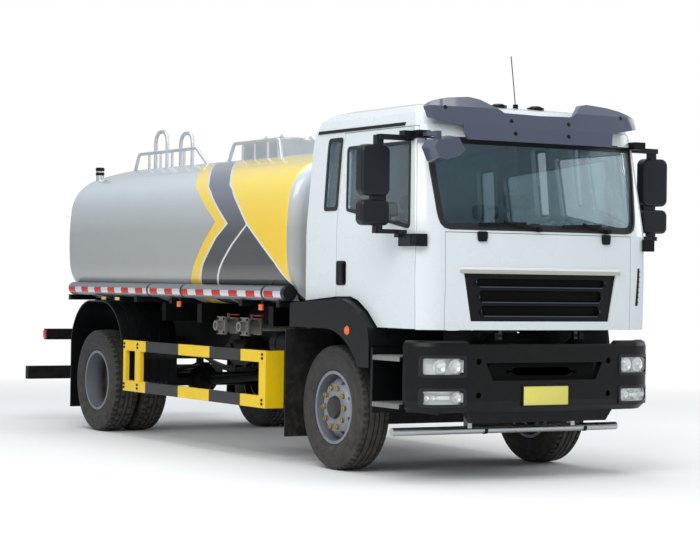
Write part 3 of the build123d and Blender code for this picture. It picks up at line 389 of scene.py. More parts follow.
print("stripes over", round(BAND_FRONT[0][1] - CHEVRON_REAR[0][1], 2), "m at the tank's foot")

# %% [markdown]
# The side guards are yellow with two black fields on their rails, and the arms that hold them are black. The
# hose tubes carry a strip of red and white tape, dark clamps and a dark cap at the front end.

# %% Guards and tubes
GUARD_BLACK = [(-3.473, -2.739), (-2.084, -1.462)]
GUARD_ARM_Y = 1.17
GUARD_FRONT_POST = -1.02
TAPE_START = -5.412
TAPE_PITCH = 0.3365
TAPE_RED = 0.170
TAPE_Z = 1.443
TAPE_HALF = 0.027
TUBE_OUTER_Y = 1.2
CLAMPS = (-3.449, -2.699, -1.073)
CLAMP_HALF = 0.02
TUBE_CAP = -0.73


def guard_paint(tree, place):
    x, y, z = axes(tree, place)
    arms = both(tree, below(tree, size_of(tree, y), GUARD_ARM_Y),
                below(tree, x, FRONT_AXLE_X + GUARD_FRONT_POST))
    colour = shade(251, 209, 8)
    for rear, front in GUARD_BLACK:
        field = both(tree, above(tree, x, FRONT_AXLE_X + rear), below(tree, x, FRONT_AXLE_X + front))
        colour = mix(tree, field, colour, shade(30, 30, 32))
    return mix(tree, arms, colour, shade(20, 20, 22))


def tube_paint(tree, place):
    x, y, z = axes(tree, place)
    along = calc(tree, "SUBTRACT", x, FRONT_AXLE_X + TAPE_START)
    phase = calc(tree, "FRACT", calc(tree, "DIVIDE", along, TAPE_PITCH))
    tape = mix(tree, below(tree, phase, TAPE_RED / TAPE_PITCH), shade(226, 230, 232), shade(214, 42, 26))
    strip = both(tree, band_mask(tree, z, TAPE_Z, TAPE_HALF), above(tree, size_of(tree, y), TUBE_OUTER_Y))
    colour = mix(tree, strip, shade(150, 154, 160), tape)
    for clamp in CLAMPS:
        mask = band_mask(tree, x, FRONT_AXLE_X + clamp, CLAMP_HALF)
        colour = mix(tree, mask, colour, shade(22, 22, 24))
    return mix(tree, above(tree, x, FRONT_AXLE_X + TUBE_CAP), colour, shade(26, 27, 30))


print("the tape repeats every", TAPE_PITCH, "m")

# %% [markdown]
# The cab's wall is one solid, white outside and grey inside. Its paint turns grey inside the middle of that
# wall, which is written down as (height, distance) points for the side and for the bowed front. The pump's
# lower half is black. A rear rim is painted darker towards the depth of its dish: painted shade, where the
# dish lies in shadow.

# %% Cab, pump and rear rims
WALL_SIDE = [(1.2, 1.09), (2.05, 1.088), (2.65, 1.036), (2.80, 1.016), (2.90, 0.98), (2.95, 0.93)]
WALL_FRONT = [(1.2, 1.375), (1.6, 1.382), (1.96, 1.375), (2.65, 1.275), (2.80, 1.24), (2.90, 1.18),
              (2.95, 1.11)]
FRONT_BOW = 0.086
BACK_WALL = -0.50
CAB_CEILING = 2.90
CAB_FLOOR = 1.225
CAB_SILL = 1.194
PUMP_BLACK_TOP = 1.05


def cab_paint(tree, place):
    x, y, z = axes(tree, place)
    across = size_of(tree, y)
    bow = both(tree, calc(tree, "POWER", across, 2), FRONT_BOW)
    front = calc(tree, "SUBTRACT", edge(tree, z, WALL_FRONT), bow)
    inside = below(tree, across, edge(tree, z, WALL_SIDE, 0))
    for test in (below(tree, x, front), above(tree, x, FRONT_AXLE_X + BACK_WALL),
                 below(tree, z, CAB_CEILING), above(tree, z, CAB_FLOOR)):
        inside = both(tree, inside, test)
    colour = mix(tree, inside, shade(219, 225, 226), shade(172, 184, 190))
    return mix(tree, below(tree, z, CAB_SILL), colour, shade(20, 20, 22))


def pump_paint(tree, place):
    z = axes(tree, place)[2]
    return mix(tree, below(tree, z, PUMP_BLACK_TOP), shade(158, 156, 150), shade(22, 22, 23))


def rear_rim_paint_and_shade(tree, place):
    # Painted shade: the dish is coloured darker the deeper it lies, where it would be in shadow.
    depth = ramp(tree, size_of(tree, axes(tree, place)[1]), 1.01, 1.10)
    return mix(tree, depth, shade(52, 50, 46), shade(128, 133, 142))


cab_white = finish("cab_white", None, 0.24, coat=0.5, cloud=0.002, depth=0.00003, dust=0.012, dust_top=1.9,
                   base=cab_paint)
tank_coat = finish("tank_paint", None, 0.2, coat=0.6, cloud=0.05, depth=0.00004, dust=0.08, dust_top=2,
                   base=tank_paint)
pump_metal = finish("pump_metal", None, 0.5, metal=0.5, cloud=0.2, grain=200, depth=0.0006, base=pump_paint)
rear_rim_coat_and_shade = finish("rear_rim_paint_and_shade", None, 0.45, metal=0.4, cloud=0.1, dust=0.4, base=rear_rim_paint_and_shade)
guard_coat = finish("guard_paint", None, 0.38, coat=0.1, cloud=0.10, dust=0.14, base=guard_paint, gloss=0.3)
tube_coat = finish("tube_metal", None, 0.3, metal=0.6, cloud=0.05, dust=0.1, dust_top=2, base=tube_paint)
dress(cab_white, "cab_shell", "door_left", "door_right", "front_panel")
dress(tank_coat, "water_tank")
dress(pump_metal, "pump_and_valves")
dress(rear_rim_coat_and_shade, "rear_rims_left", "rear_rims_right")
dress(guard_coat, "side_guards")
dress(tube_coat, "hose_tubes")
print("patterned finishes done")

# %% [markdown]
# ### Glass
# Truck glass is tinted blue-green. The tint is the transmission colour, kept light because the light passes
# twice through a cab. A thin film of dust lifts the roughness a little in patches. Real glass lets sunlight
# in, but a renderer's shadow rays stop at it. An Alpha below 1 lets a share of the light pass straight
# through, so the seats behind the windscreen don't drown in black.

# %% Glass
def glass_material(name, tint, share):
    material, tree, shader, place = start_material(name)
    smears = noise(tree, place, 5, 4)
    shader.inputs["Transmission Weight"].default_value = 1.0
    shader.inputs["IOR"].default_value = 1.35
    link(tree, ramp(tree, smears, 0.45, 0.8, 0.0, 0.06), shader.inputs["Roughness"])
    colour = mix(tree, ramp(tree, smears, 0.3, 0.7), tint, scaled(tint, 0.92))
    link(tree, colour, shader.inputs["Base Color"])
    shader.inputs["Alpha"].default_value = share
    return material


cab_tint = glass_material("cab_tint", shade(196, 236, 246), 0.44)
dress(cab_tint, "cab_glass", "door_glass_left", "door_glass_right")
print("glass:", cab_tint.name)

# %% [markdown]
# ## Making pieces
# Every new piece starts as a bmesh, gets its shape from operators, and ends as an object at the origin that
# rides on one of the frame's bodies. `piece` does the last part. `turned` spins a profile round an axis, as
# a lathe would, and `slab` is a block with rounded edges: between them they make most of the small parts.

# %% Piece helpers
SMALLEST_GAP = 0.00001


def at(x, y, z):
    """A point given from the front axle's middle line."""
    return Vector((FRONT_AXLE_X + x, y, z))


def piece(name, bm, material, body, smooth=35, clean=True):
    if clean:
        bmesh.ops.remove_doubles(bm, verts=bm.verts, dist=SMALLEST_GAP)
        bmesh.ops.recalc_face_normals(bm, faces=bm.faces)
    mesh = bpy.data.meshes.new(name)
    bm.to_mesh(mesh)
    bm.free()
    mesh.materials.append(material)
    mesh.polygons.foreach_set("use_smooth", [True] * len(mesh.polygons))
    mesh.set_sharp_from_angle(angle=math.radians(smooth))
    made = bpy.data.objects.new(name, mesh)
    scene.collection.objects.link(made)
    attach(made, body)
    return made


def turned(bm, profile, place, axis, steps=32, closed=False):
    """Spins (along, radius) points round the axis line through place."""
    axis = Vector(axis).normalized()
    out = axis.orthogonal().normalized()
    verts = [bm.verts.new(Vector(place) + axis * along + out * radius) for along, radius in profile]
    ends = verts[1:] + verts[:1] if closed else verts[1:]
    edges = [bm.edges.new(pair) for pair in zip(verts, ends)]
    bmesh.ops.spin(bm, geom=verts + edges, cent=place, axis=axis, angle=2 * math.pi, steps=steps,
                   use_merge=True)


def slab(bm, low, high, radius=0.0):
    """A block between two corners, with its edges rounded."""
    low, high = Vector(low), Vector(high)
    matrix = Matrix.Translation((low + high) / 2) @ Matrix.Diagonal((*(high - low), 1))
    made = bmesh.ops.create_cube(bm, size=1, matrix=matrix)["verts"]
    if radius:
        edges = list({edge for vert in made for edge in vert.link_edges})
        bmesh.ops.bevel(bm, geom=edges, offset=radius, segments=2, affect="EDGES", profile=0.5, material=-1)


print("front axle at", [round(c, 3) for c in at(0, 0, AXLE_Z)])

# %% [markdown]
# ## Tyres
# A truck tyre is a lathe shape: rounded shoulders, a nearly flat crown with four grooves round it, and rings
# moulded into the sidewall. The tread's short cross cuts are made after the spin: every other face of the
# outer ribs is inset and pushed in, which leaves a row of lugs. The casing is hollow towards the rim.

# %% Tyre profile
tyre_rubber = finish("tyre_rubber", shade(45, 44, 43), 0.72, cloud=0.18, grain=500, depth=0.0004,
                     dust=0.30, dust_top=1.1)
TYRE_STEPS = 108
# Half of the section, from the bead to the middle of the tread, as (from the middle plane, radius).
SIDEWALL = [(0.105, 0.292), (0.105, 0.305), (0.113, 0.309), (0.118, 0.316), (0.122, 0.316), (0.127, 0.335),
            (0.133, 0.350), (0.137, 0.372), (0.139, 0.395), (0.1375, 0.398), (0.1375, 0.404),
            (0.1393, 0.407), (0.1395, 0.424), (0.1385, 0.445), (0.135, 0.462), (0.132, 0.464),
            (0.131, 0.470), (0.128, 0.486), (0.121, 0.502), (0.110, 0.5105), (0.090, 0.5135)]
TREAD = [(0.080, 0.5140), (0.0775, 0.5000), (0.0690, 0.5000), (0.0665, 0.5146), (0.040, 0.5160),
         (0.0275, 0.5165), (0.0250, 0.5010), (0.0165, 0.5010), (0.0140, 0.5170), (0.0, 0.5170)]
INSIDE = [(0.0, 0.480), (0.085, 0.476), (0.120, 0.450), (0.127, 0.400), (0.115, 0.340), (0.092, 0.300)]
# Where the ribs with lugs lie, as (least and most distance from the middle plane, least radius).
OUTER_RIB = (0.0816, 0.119, 0.503)
INNER_RIB = (0.028, 0.066, 0.513)
LUG_EDGE = 0.0035


def on_rib(rib, across, radius):
    low, high, least_radius = rib
    return low < across < high and radius > least_radius


def tyre(bm, centre_y, axle_x, lug_depth, inner_lugs):
    half = SIDEWALL + TREAD
    outer = half + [(-y, r) for y, r in reversed(half[:-1])]
    inner = [(-y, r) for y, r in reversed(INSIDE)] + INSIDE[1:]
    middle = at(axle_x, centre_y, AXLE_Z)
    turned(bm, outer + inner, middle, (0, 1, 0), TYRE_STEPS, closed=True)
    bmesh.ops.remove_doubles(bm, verts=bm.verts, dist=SMALLEST_GAP)
    lugs = []
    for face in bm.faces:
        reach = face.calc_center_median() - middle
        across, radius = abs(reach.y), math.hypot(reach.x, reach.z)
        step = int((math.atan2(reach.z, reach.x) / (2 * math.pi) + 1) * TYRE_STEPS)
        outer_lug = on_rib(OUTER_RIB, across, radius) and step % 2 == 0
        inner_lug = inner_lugs and on_rib(INNER_RIB, across, radius) and step % 3 == 0
        if outer_lug or inner_lug:
            lugs.append(face)
    bmesh.ops.inset_individual(bm, faces=lugs, thickness=LUG_EDGE, depth=-lug_depth, use_even_offset=True)


print("tyre section:", len(SIDEWALL + TREAD), "points for half of it")

# %% [markdown]
# The front tyres are steering tyres, with shallow cuts on their shoulders only. The driven rear pairs have
# deeper blocks, also on the inner ribs. Each new tyre stands for the smooth one in the CAD model.

# %% Six tyres
REAR_AXLE_X = -4.70
FRONT_TYRE_Y = 0.987
TWIN_TYRES_Y = (1.082, 0.758)
SIDES = (("left", 1), ("right", -1))
for hand, side in SIDES:
    front_bm = bmesh.new()
    tyre(front_bm, side * FRONT_TYRE_Y, 0, 0.007, inner_lugs=False)
    front_tyre = piece(f"tyre_front_{hand}", front_bm, tyre_rubber, f"wheel_front_{hand}",
                       clean=False)
    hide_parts(f"front_tyre_{hand}")
    rear_bm = bmesh.new()
    for centre_y in TWIN_TYRES_Y:
        tyre(rear_bm, side * centre_y, REAR_AXLE_X, 0.011, inner_lugs=True)
    rear_tyre = piece(f"tyres_rear_{hand}", rear_bm, tyre_rubber, f"wheel_rear_{hand}", clean=False)
    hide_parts(f"rear_tyres_{hand}")
    print("tyres", hand, len(front_tyre.data.polygons), len(rear_tyre.data.polygons), "faces")

# %% [markdown]
# ## Laying things on the cab
# Seals, trim and lamp bezels have to follow the cab's bowed front and leaning sides. So we write those
# surfaces down once: `cab_front` and `cab_side` return the point of the skin at a place in the front or the
# side view, moved outward if asked. An outline drawn in that flat view then lands on the metal by itself.
# The bumper's bowed front gets the same treatment.

# %% Surfaces of the cab and the bumper
FORWARD = (1, 0, 0)
# Height, front x and half width of the cab's skin.
CAB_LEVELS = [(1.195, 1.405, 1.118), (1.600, 1.412, 1.120), (1.960, 1.405, 1.120), (2.050, 1.392, 1.116),
              (2.650, 1.305, 1.066), (2.800, 1.270, 1.046), (2.900, 1.215, 1.010), (2.962, 1.110, 0.945)]


def cab_level(z):
    """The front x and the half width of the cab at height z."""
    for (z0, front0, half0), (z1, front1, half1) in zip(CAB_LEVELS, CAB_LEVELS[1:]):
        if z <= z1:
            share = max(0.0, (z - z0) / (z1 - z0))
            return front0 + (front1 - front0) * share, half0 + (half1 - half0) * share
    return CAB_LEVELS[-1][1:]


def circle_x(y, a, b, c):
    """The forward x, at y, of the circle through three (x, y) points."""
    points = (a, b, c)
    squares = [x * x + v * v for x, v in points]
    spans_y = [points[k - 2][1] - points[k - 1][1] for k in range(3)]
    spans_x = [points[k - 1][0] - points[k - 2][0] for k in range(3)]
    twice = 2 * sum(points[k][0] * spans_y[k] for k in range(3))
    centre_x = sum(squares[k] * spans_y[k] for k in range(3)) / twice
    centre_y = sum(squares[k] * spans_x[k] for k in range(3)) / twice
    reach = (a[0] - centre_x) ** 2 + (a[1] - centre_y) ** 2
    return centre_x + math.sqrt(max(0.0, reach - (y - centre_y) ** 2))


# The flat front ends this far inside the cab's side, and has fallen back by this much there. The rounded
# corner passes through a knee, so far behind that point and inside the side, and ends this far back.
CORNER_WIDTH = 0.22
CORNER_BACK = 0.045
KNEE_BACK, KNEE_INSET = 0.032, 0.082
CORNER_END = 0.145


def cab_front(y, z, out=0.0):
    front, half = cab_level(z)
    bow = (front - CORNER_BACK, half - CORNER_WIDTH)
    if abs(y) < bow[1]:
        x = circle_x(y, (bow[0], -bow[1]), (front, 0), bow)
    else:
        x = circle_x(abs(y), bow, (bow[0] - KNEE_BACK, half - KNEE_INSET), (front - CORNER_END, half))
    return at(x + out, y, z)


def cab_side(x, z, side, out=0.0):
    return at(x, side * (cab_level(z)[1] + out), z)


BUMPER_MIDDLE = (1.46, 0)
BUMPER_BEND = (1.42, 0.93)
BUMPER_CORNER = (1.348, 1.082)
BUMPER_END = (1.215, 1.165)


def bumper_front(y, z, out=0.0):
    bend_x, bend_y = BUMPER_BEND
    if abs(y) < bend_y:
        return at(circle_x(y, (bend_x, -bend_y), BUMPER_MIDDLE, BUMPER_BEND) + out, y, z)
    return at(circle_x(abs(y), BUMPER_BEND, BUMPER_CORNER, BUMPER_END) + out, y, z)


print("the cab's front bows by", round(cab_front(0, 1.6).x - cab_front(0.9, 1.6).x, 3), "m")

# %% [markdown]
# A piece's outline is laid on one of these surfaces at a chosen distance. These three return a function
# that does so, ready to be handed to the makers of bands and panes below.

# %% Places for outlines
def on_cab(out):
    return lambda y, z: cab_front(y, z, out)


def on_side(side, out):
    return lambda x, z: cab_side(x, z, side, out)


def on_bumper(out):
    return lambda y, z: bumper_front(y, z, out)


print("a point on the bumper:", [round(c, 3) for c in on_bumper(0)(0.5, 0.9)])

# %% [markdown]
# Outlines are lists of corners. `rounded` softens the corners and divides the straight runs, so two outlines
# with the same number of corners always have the same number of points and can be bridged into a flat band.
# `shrunk` moves an outline inward by an even amount, which is how a seal gets its inner edge.

# %% Outlines
def rounded(corners, radius, corner_steps=5, run_steps=6):
    outline = []
    count = len(corners)
    for index in range(count):
        before, corner, after = (Vector(corners[(index + k) % count]) for k in (-1, 0, 1))
        reach = radius / math.tan((before - corner).angle(after - corner) / 2)
        start = corner + (before - corner).normalized() * reach
        end = corner + (after - corner).normalized() * reach
        for step in range(corner_steps + 1):
            t = step / corner_steps
            outline.append(start * (1 - t) ** 2 + corner * 2 * t * (1 - t) + end * t * t)
        beyond = Vector(corners[(index + 2) % count])
        next_reach = radius / math.tan((corner - after).angle(beyond - after) / 2)
        goal = after + (corner - after).normalized() * next_reach
        outline += [end.lerp(goal, step / run_steps) for step in range(1, run_steps)]
    return outline


def shrunk(corners, amount):
    made = []
    count = len(corners)
    for index in range(count):
        before, corner, after = (Vector(corners[(index + k) % count]) for k in (-1, 0, 1))
        u, v = (before - corner).normalized(), (after - corner).normalized()
        made.append(corner + (u + v) * amount / abs(u.cross(v)))
    return made


def rectangle(low, high):
    return [(low[0], low[1]), (high[0], low[1]), (high[0], high[1]), (low[0], high[1])]


def mirrored(corners, side):
    return [(side * y, z) for y, z in corners]


print("a rounded rectangle has", len(rounded(rectangle((0, 0), (2, 1)), 0.1)), "points")

# %% [markdown]
# `loop_of` turns an outline into a ring of edges on a surface, and three makers fill it. `band` bridges two
# outlines, `pane` fills one in shrinking rings, so that the sheet can follow a curve, and `plate` fills a
# flat one at once. Each sheet is then extruded outwards, which makes it solid.

# %% Bands, panes and plates
def loop_of(bm, outline, place):
    verts = [bm.verts.new(place(*point)) for point in outline]
    return [bm.edges.new(pair) for pair in zip(verts, verts[1:] + verts[:1])]


def append(bm, part):
    bmesh.ops.recalc_face_normals(part, faces=part.faces)
    mesh = bpy.data.meshes.new("part")
    part.to_mesh(mesh)
    part.free()
    bm.from_mesh(mesh)
    bpy.data.meshes.remove(mesh)


def thicken(bm, outward, thickness):
    top = bmesh.ops.extrude_face_region(bm, geom=bm.faces[:])["geom"]
    moved = [v for v in top if isinstance(v, bmesh.types.BMVert)]
    bmesh.ops.translate(bm, verts=moved, vec=Vector(outward) * thickness)


def band(bm, outer, inner, place, outward, thickness):
    """A flat strip between two outlines, laid on a surface and made solid."""
    part = bmesh.new()
    bmesh.ops.bridge_loops(part, edges=loop_of(part, outer, place) + loop_of(part, inner, place))
    thicken(part, outward, thickness)
    append(bm, part)


PANE_RINGS = 4


def pane(bm, outline, place, outward, thickness):
    """A filled outline, laid on a surface in shrinking rings so that it can curve, and made solid."""
    part = bmesh.new()
    middle = sum((Vector(p) for p in outline), Vector((0, 0))) / len(outline)
    loops = [loop_of(part, [middle.lerp(p, k / PANE_RINGS) for p in outline], place)
             for k in range(1, PANE_RINGS + 1)]
    for inner, outer in zip(loops, loops[1:]):
        bmesh.ops.bridge_loops(part, edges=inner + outer)
    bmesh.ops.contextual_create(part, geom=loops[0])
    thicken(part, outward, thickness)
    append(bm, part)


def plate(bm, outline, place, outward, thickness):
    """A flat filled outline, made solid."""
    part = bmesh.new()
    bmesh.ops.contextual_create(part, geom=loop_of(part, outline, place))
    thicken(part, outward, thickness)
    append(bm, part)


print("a pane has", PANE_RINGS, "rings")

# %% [markdown]
# ## Window seals
# Each pane sits in black rubber, and the windscreen has a wide black band fired on its edge that hides the
# glue. They are bands between two outlines, standing a few millimetres off the metal.

# %% Seals and the windscreen's black edge
seal_rubber = finish("seal_rubber", shade(24, 26, 29), 0.5, grain=600, dust=0.1)
# Outlines in the side view, as (x, z), and half of the windscreen's in the front view, as (y, z).
WINDOW = [(0.125, 2.660), (0.188, 2.150), (1.178, 1.990), (1.088, 2.662)]
QUARTER = [(-0.205, 2.745), (-0.185, 2.155), (0.024, 2.155), (0.016, 2.745)]
SCREEN_HALF = [(0.860, 1.985), (0.905, 1.995), (0.935, 2.022), (0.951, 2.062), (0.960, 2.110),
               (0.968, 2.200), (0.990, 2.450), (0.996, 2.700)]
SCREEN = SCREEN_HALF + [(-y, z) for y, z in reversed(SCREEN_HALF)]
SEAL_SINK = -0.002
SEAL_THICKNESS = 0.007

for hand, side in SIDES:
    bm = bmesh.new()
    band(bm, rounded(shrunk(WINDOW, -0.012), 0.045), rounded(shrunk(WINDOW, 0.012), 0.03),
         on_side(side, SEAL_SINK), (0, side, 0), SEAL_THICKNESS)
    piece(f"window_seal_{hand}", bm, seal_rubber, f"door_{hand}")
    bm = bmesh.new()
    band(bm, rounded(shrunk(QUARTER, -0.010), 0.04), rounded(shrunk(QUARTER, 0.022), 0.03),
         on_side(side, SEAL_SINK), (0, side, 0), SEAL_THICKNESS)
    piece(f"quarter_seal_{hand}", bm, seal_rubber, "cab")

bm = bmesh.new()
band(bm, rounded(shrunk(SCREEN, 0.004), 0.004, 2, 12), rounded(shrunk(SCREEN, 0.046), 0.004, 2, 12),
     on_cab(-0.012), FORWARD, 0.003)
band(bm, rounded(shrunk(SCREEN, -0.008), 0.004, 2, 12), rounded(shrunk(SCREEN, 0.012), 0.004, 2, 12),
     on_cab(-0.009), FORWARD, 0.012)
piece("screen_edge", bm, seal_rubber, "cab")
print("seals done")

# %% [markdown]
# ## Lamps
# A headlamp is a bright bowl behind a clear lens. Each unit is a tray let into the bumper's pocket, with
# lathe-turned bowls and bulbs in it, and a lens that follows the bumper's curve. The tail lamps are plain
# coloured lenses on the rear beam. Together these pieces stand for the plain lamp blocks of the CAD model.

# %% Lamp finishes and the tray
chrome = finish("lamp_chrome", shade(244, 246, 246), 0.3, metal=0.6, cloud=0.02, depth=0.00002, dust=0.0)
# Painted reflection: the trays are a flat near-white that stands in for the bright shine of a lamp's chrome.
lamp_silver_painted_reflection = finish("lamp_silver_painted_reflection", shade(240, 242, 240), 0.35, cloud=0.02, depth=0.00002, dust=0.0)
lens_clear = glass_material("lens_clear", shade(250, 252, 252), 0.35)
amber = finish("amber_lens", shade(232, 96, 18), 0.15, coat=0.8, cloud=0.05, grain=90, depth=0.0006,
               dust=0.05)
red_lens = finish("red_lens", shade(186, 18, 16), 0.15, coat=0.8, cloud=0.05, grain=90, depth=0.0006,
                  dust=0.1)
bulb_white = finish("bulb_white", shade(250, 251, 247), 0.25, cloud=0.03, dust=0.0)


def tray(bm, outline, front, back):
    """A thin box open towards the front, between the same outline laid on two surfaces."""
    part = bmesh.new()
    rim, foot = loop_of(part, outline, front), loop_of(part, outline, back)
    bmesh.ops.bridge_loops(part, edges=rim + foot)
    bmesh.ops.contextual_create(part, geom=foot)
    bmesh.ops.recalc_face_normals(part, faces=part.faces)
    bmesh.ops.solidify(part, geom=part.faces[:], thickness=0.0015)
    append(bm, part)


print("lamp finishes:", [m.name for m in (chrome, lamp_silver_painted_reflection, lens_clear, amber, red_lens, bulb_white)])

# %% [markdown]
# The upper unit holds two large bowls. The lower one holds a fog lamp, a bright strip and two small bowls.
# The bowls' profile is (along the lamp's axis, radius), and each bowl takes it at its own size.

# %% Headlamps
UPPER = rectangle((0.761, 0.848), (1.089, 0.978))
LOWER = rectangle((0.761, 0.616), (1.089, 0.724))
STRIP = rectangle((0.872, 0.656), (0.982, 0.684))
BOWL = [(-0.044, 0.0), (-0.042, 0.012), (-0.034, 0.028), (-0.018, 0.042), (0.0, 0.050), (0.004, 0.054),
        (-0.003, 0.056)]
BOWL_DEPTH = 0.6
BULB = [(-0.024, 0.0), (0.0, 0.010), (-0.004, 0.015), (-0.026, 0.015)]
LAMP_BOWLS = [(UPPER, 0.832, 1.0), (UPPER, 0.962, 1.0), (LOWER, 0.815, 0.78), (LOWER, 1.010, 0.36),
              (LOWER, 1.052, 0.36)]

for hand, side in SIDES:
    silver, glass, bezels, bowls, glow = (bmesh.new() for _ in range(5))
    for corners in (mirrored(UPPER, side), mirrored(LOWER, side)):
        tray(silver, rounded(corners, 0.014), on_bumper(-0.010), on_bumper(-0.050))
        pane(glass, rounded(shrunk(corners, 0.004), 0.014), on_bumper(-0.010), FORWARD, 0.004)
        band(bezels, rounded(shrunk(corners, -0.022), 0.034), rounded(shrunk(corners, 0.003), 0.014),
             on_bumper(0.0005), FORWARD, 0.005)
    for corners, y, size in LAMP_BOWLS:
        z = (corners[0][1] + corners[2][1]) / 2
        place = bumper_front(side * y, z, -0.020)
        turned(bowls, [(a * size * BOWL_DEPTH, r * size) for a, r in BOWL], place, FORWARD, 28)
        turned(glow, [(a * size, r * size) for a, r in BULB], place, FORWARD, 16)
    pane(glow, rounded(mirrored(STRIP, side), 0.01), on_bumper(-0.030), FORWARD, 0.010)
    housing = piece(f"lamp_housing_{hand}", silver, lamp_silver_painted_reflection, "chassis")
    piece(f"lamp_bezels_{hand}", bezels, mirror_plastic, "chassis")
    piece(f"lamp_bowls_{hand}", bowls, chrome, "chassis")
    piece(f"lamp_lens_{hand}", glass, lens_clear, "chassis")
    piece(f"lamp_bulbs_{hand}", glow, bulb_white, "chassis")
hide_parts("lamp_units")
print("headlamps done")

# %% [markdown]
# A tail lamp is three lenses side by side on the rear face of the lamp beam, with one more on its end.

# %% Tail lamps
TAIL_LENSES = [(0.685, 0.775, red_lens), (0.780, 0.870, amber), (0.875, 0.975, red_lens)]
TAIL_LOW, TAIL_HIGH = 0.888, 0.976
for hand, side in SIDES:
    for index, (near, far, material) in enumerate(TAIL_LENSES):
        bm = bmesh.new()
        slab(bm, at(-6.674, side * near, TAIL_LOW), at(-6.648, side * far, TAIL_HIGH), 0.006)
        piece(f"tail_lamp_{hand}_{index}", bm, material, "chassis")
    bm = bmesh.new()
    slab(bm, at(-6.645, side * 0.998, TAIL_LOW), at(-6.568, side * 1.016, TAIL_HIGH), 0.006)
    piece(f"end_lamp_{hand}", bm, red_lens, "chassis")
print("tail lamps done")

# %% [markdown]
# ## Trim on the cab
# A bright bar crosses the flap over the grille, with a whiter strip along its top that is a painted
# highlight.
# Its long runs are divided finely, so that it bends smoothly with the cab's front.

# %% Bright bar
CORNER_STEPS, RUN_STEPS = 4, 24
bar_steel = finish("bar_steel", shade(200, 198, 184), 0.3, metal=0.5, cloud=0.02, dust=0.02)
# Painted highlight: the upper strip is whiter than the bar's steel, where the top catches the light.
bar_painted_highlight = finish("bar_painted_highlight", shade(244, 246, 248), 0.15, metal=0.2, coat=0.6, cloud=0.01, dust=0.0)
BARS = [("bright_bar", (-0.777, 1.641), (0.777, 1.668), 0.014, bar_steel),
        ("bright_bar_painted_highlight", (-0.772, 1.664), (0.772, 1.690), 0.010, bar_painted_highlight)]
for name, low, high, thickness, material in BARS:
    bm = bmesh.new()
    outline = rounded(rectangle(low, high), 0.010, CORNER_STEPS, RUN_STEPS)
    pane(bm, outline, on_cab(0.002), FORWARD, thickness)
    piece(name, bm, material, "front_flap")
print("bright bar done")

# %% [markdown]
# Behind the louvres each slot is closed by a near-black sheet with a coarse mesh bump: painted shade for the
# depth behind the slots. Small lips under each slot and at its ends are coloured lighter, a painted
# highlight where they catch the light. The bumper's recess is closed by the same near-black sheet, painted
# shade in the recess.

# %% Grille and recess
GRILLE_SLOTS = [(1.538, 1.600, 1.240), (1.418, 1.508, 1.182), (1.308, 1.388, 1.140)]
RECESS = [(-0.505, 0.806), (0.470, 0.806), (0.500, 0.934), (-0.530, 0.934)]
RECESS_X = 1.4212
MESH_THICKNESS = 0.0015
# Painted shade: a near-black sheet where the slots' and the recess's depth lies in shadow.
painted_shade_black = finish("grille_shade_sheet", shade(6, 6, 6), 0.7, cloud=0.3, grain=300, depth=0.003, dust=0.0,
                    gloss=0.1)
# Painted highlight: the lips are coloured lighter than the black plastic around them, where they catch the
# light.
lip_painted_highlight = finish("lip_painted_highlight", shade(60, 66, 80), 0.35, cloud=0.05, dust=0.0)
mesh, lips, recess = bmesh.new(), bmesh.new(), bmesh.new()
for low, high, width in GRILLE_SLOTS:
    half = width / 2
    slot_shape = rectangle((-half + 0.002, low + 0.002), (half - 0.002, high - 0.002))
    pane(mesh, rounded(slot_shape, 0.026, 5, 16), on_cab(-0.0285), FORWARD, MESH_THICKNESS)
    lip_shapes = [rectangle((-half + 0.018, low - 0.009), (half - 0.018, low - 0.001)),
                  rectangle((-half - 0.012, low + 0.024), (-half - 0.003, low + 0.046)),
                  rectangle((half + 0.003, low + 0.024), (half + 0.012, low + 0.046))]
    for lip_shape in lip_shapes:
        pane(lips, rounded(lip_shape, 0.003, 2, 20), on_cab(-0.0015), FORWARD, 0.0025)
# Painted shade: the near-black sheet at the back of the bumper's recess.
pane(recess, rounded(RECESS, 0.02, 3, 8), lambda y, z: at(RECESS_X, y, z), FORWARD, MESH_THICKNESS)
piece("grille_shade_sheet", mesh, painted_shade_black, "front_flap")
piece("grille_lips", lips, lip_painted_highlight, "front_flap")
piece("recess_shade_sheet", recess, painted_shade_black, "chassis")
print("grille done")

# %% [markdown]
# Two black tabs cover the flap's hinges. The plate on the bumper is blank, in a black frame. A slotted vent
# stands at the cab's left corner.

# %% Hinge tabs, blank plate and vent
TAB_Y = (-0.58, 0.63)
VENT = [(0.962, 1.392), (0.992, 1.392), (1.012, 1.702), (0.985, 1.702)]
VENT_SLATS = 7
VENT_FIRST_Y, VENT_FIRST_Z = 0.980, 1.42
VENT_PITCH = 0.042
VENT_LEAN = 0.07
plate_yellow = finish("plate_yellow", shade(224, 214, 104), 0.4, cloud=0.05, dust=0.08)
bm = bmesh.new()
for y in TAB_Y:
    tab = [(y - 0.046, 1.968), (y - 0.038, 1.888), (y + 0.038, 1.888), (y + 0.046, 1.968)]
    pane(bm, rounded(tab, 0.018), on_cab(0.0005), FORWARD, 0.016)
piece("flap_caps", bm, black_plastic, "front_flap")

bm = bmesh.new()
slab(bm, at(1.4602, -0.220, 0.600), at(1.4640, 0.220, 0.755), 0.0015)
piece("number_plate", bm, plate_yellow, "chassis")
bm = bmesh.new()
frame_outer = rounded(rectangle((-0.230, 0.590), (0.230, 0.765)), 0.01)
frame_inner = rounded(rectangle((-0.217, 0.603), (0.217, 0.752)), 0.004)
band(bm, frame_outer, frame_inner, lambda y, z: at(1.459, y, z), FORWARD, 0.007)
piece("plate_frame", bm, black_plastic, "chassis")

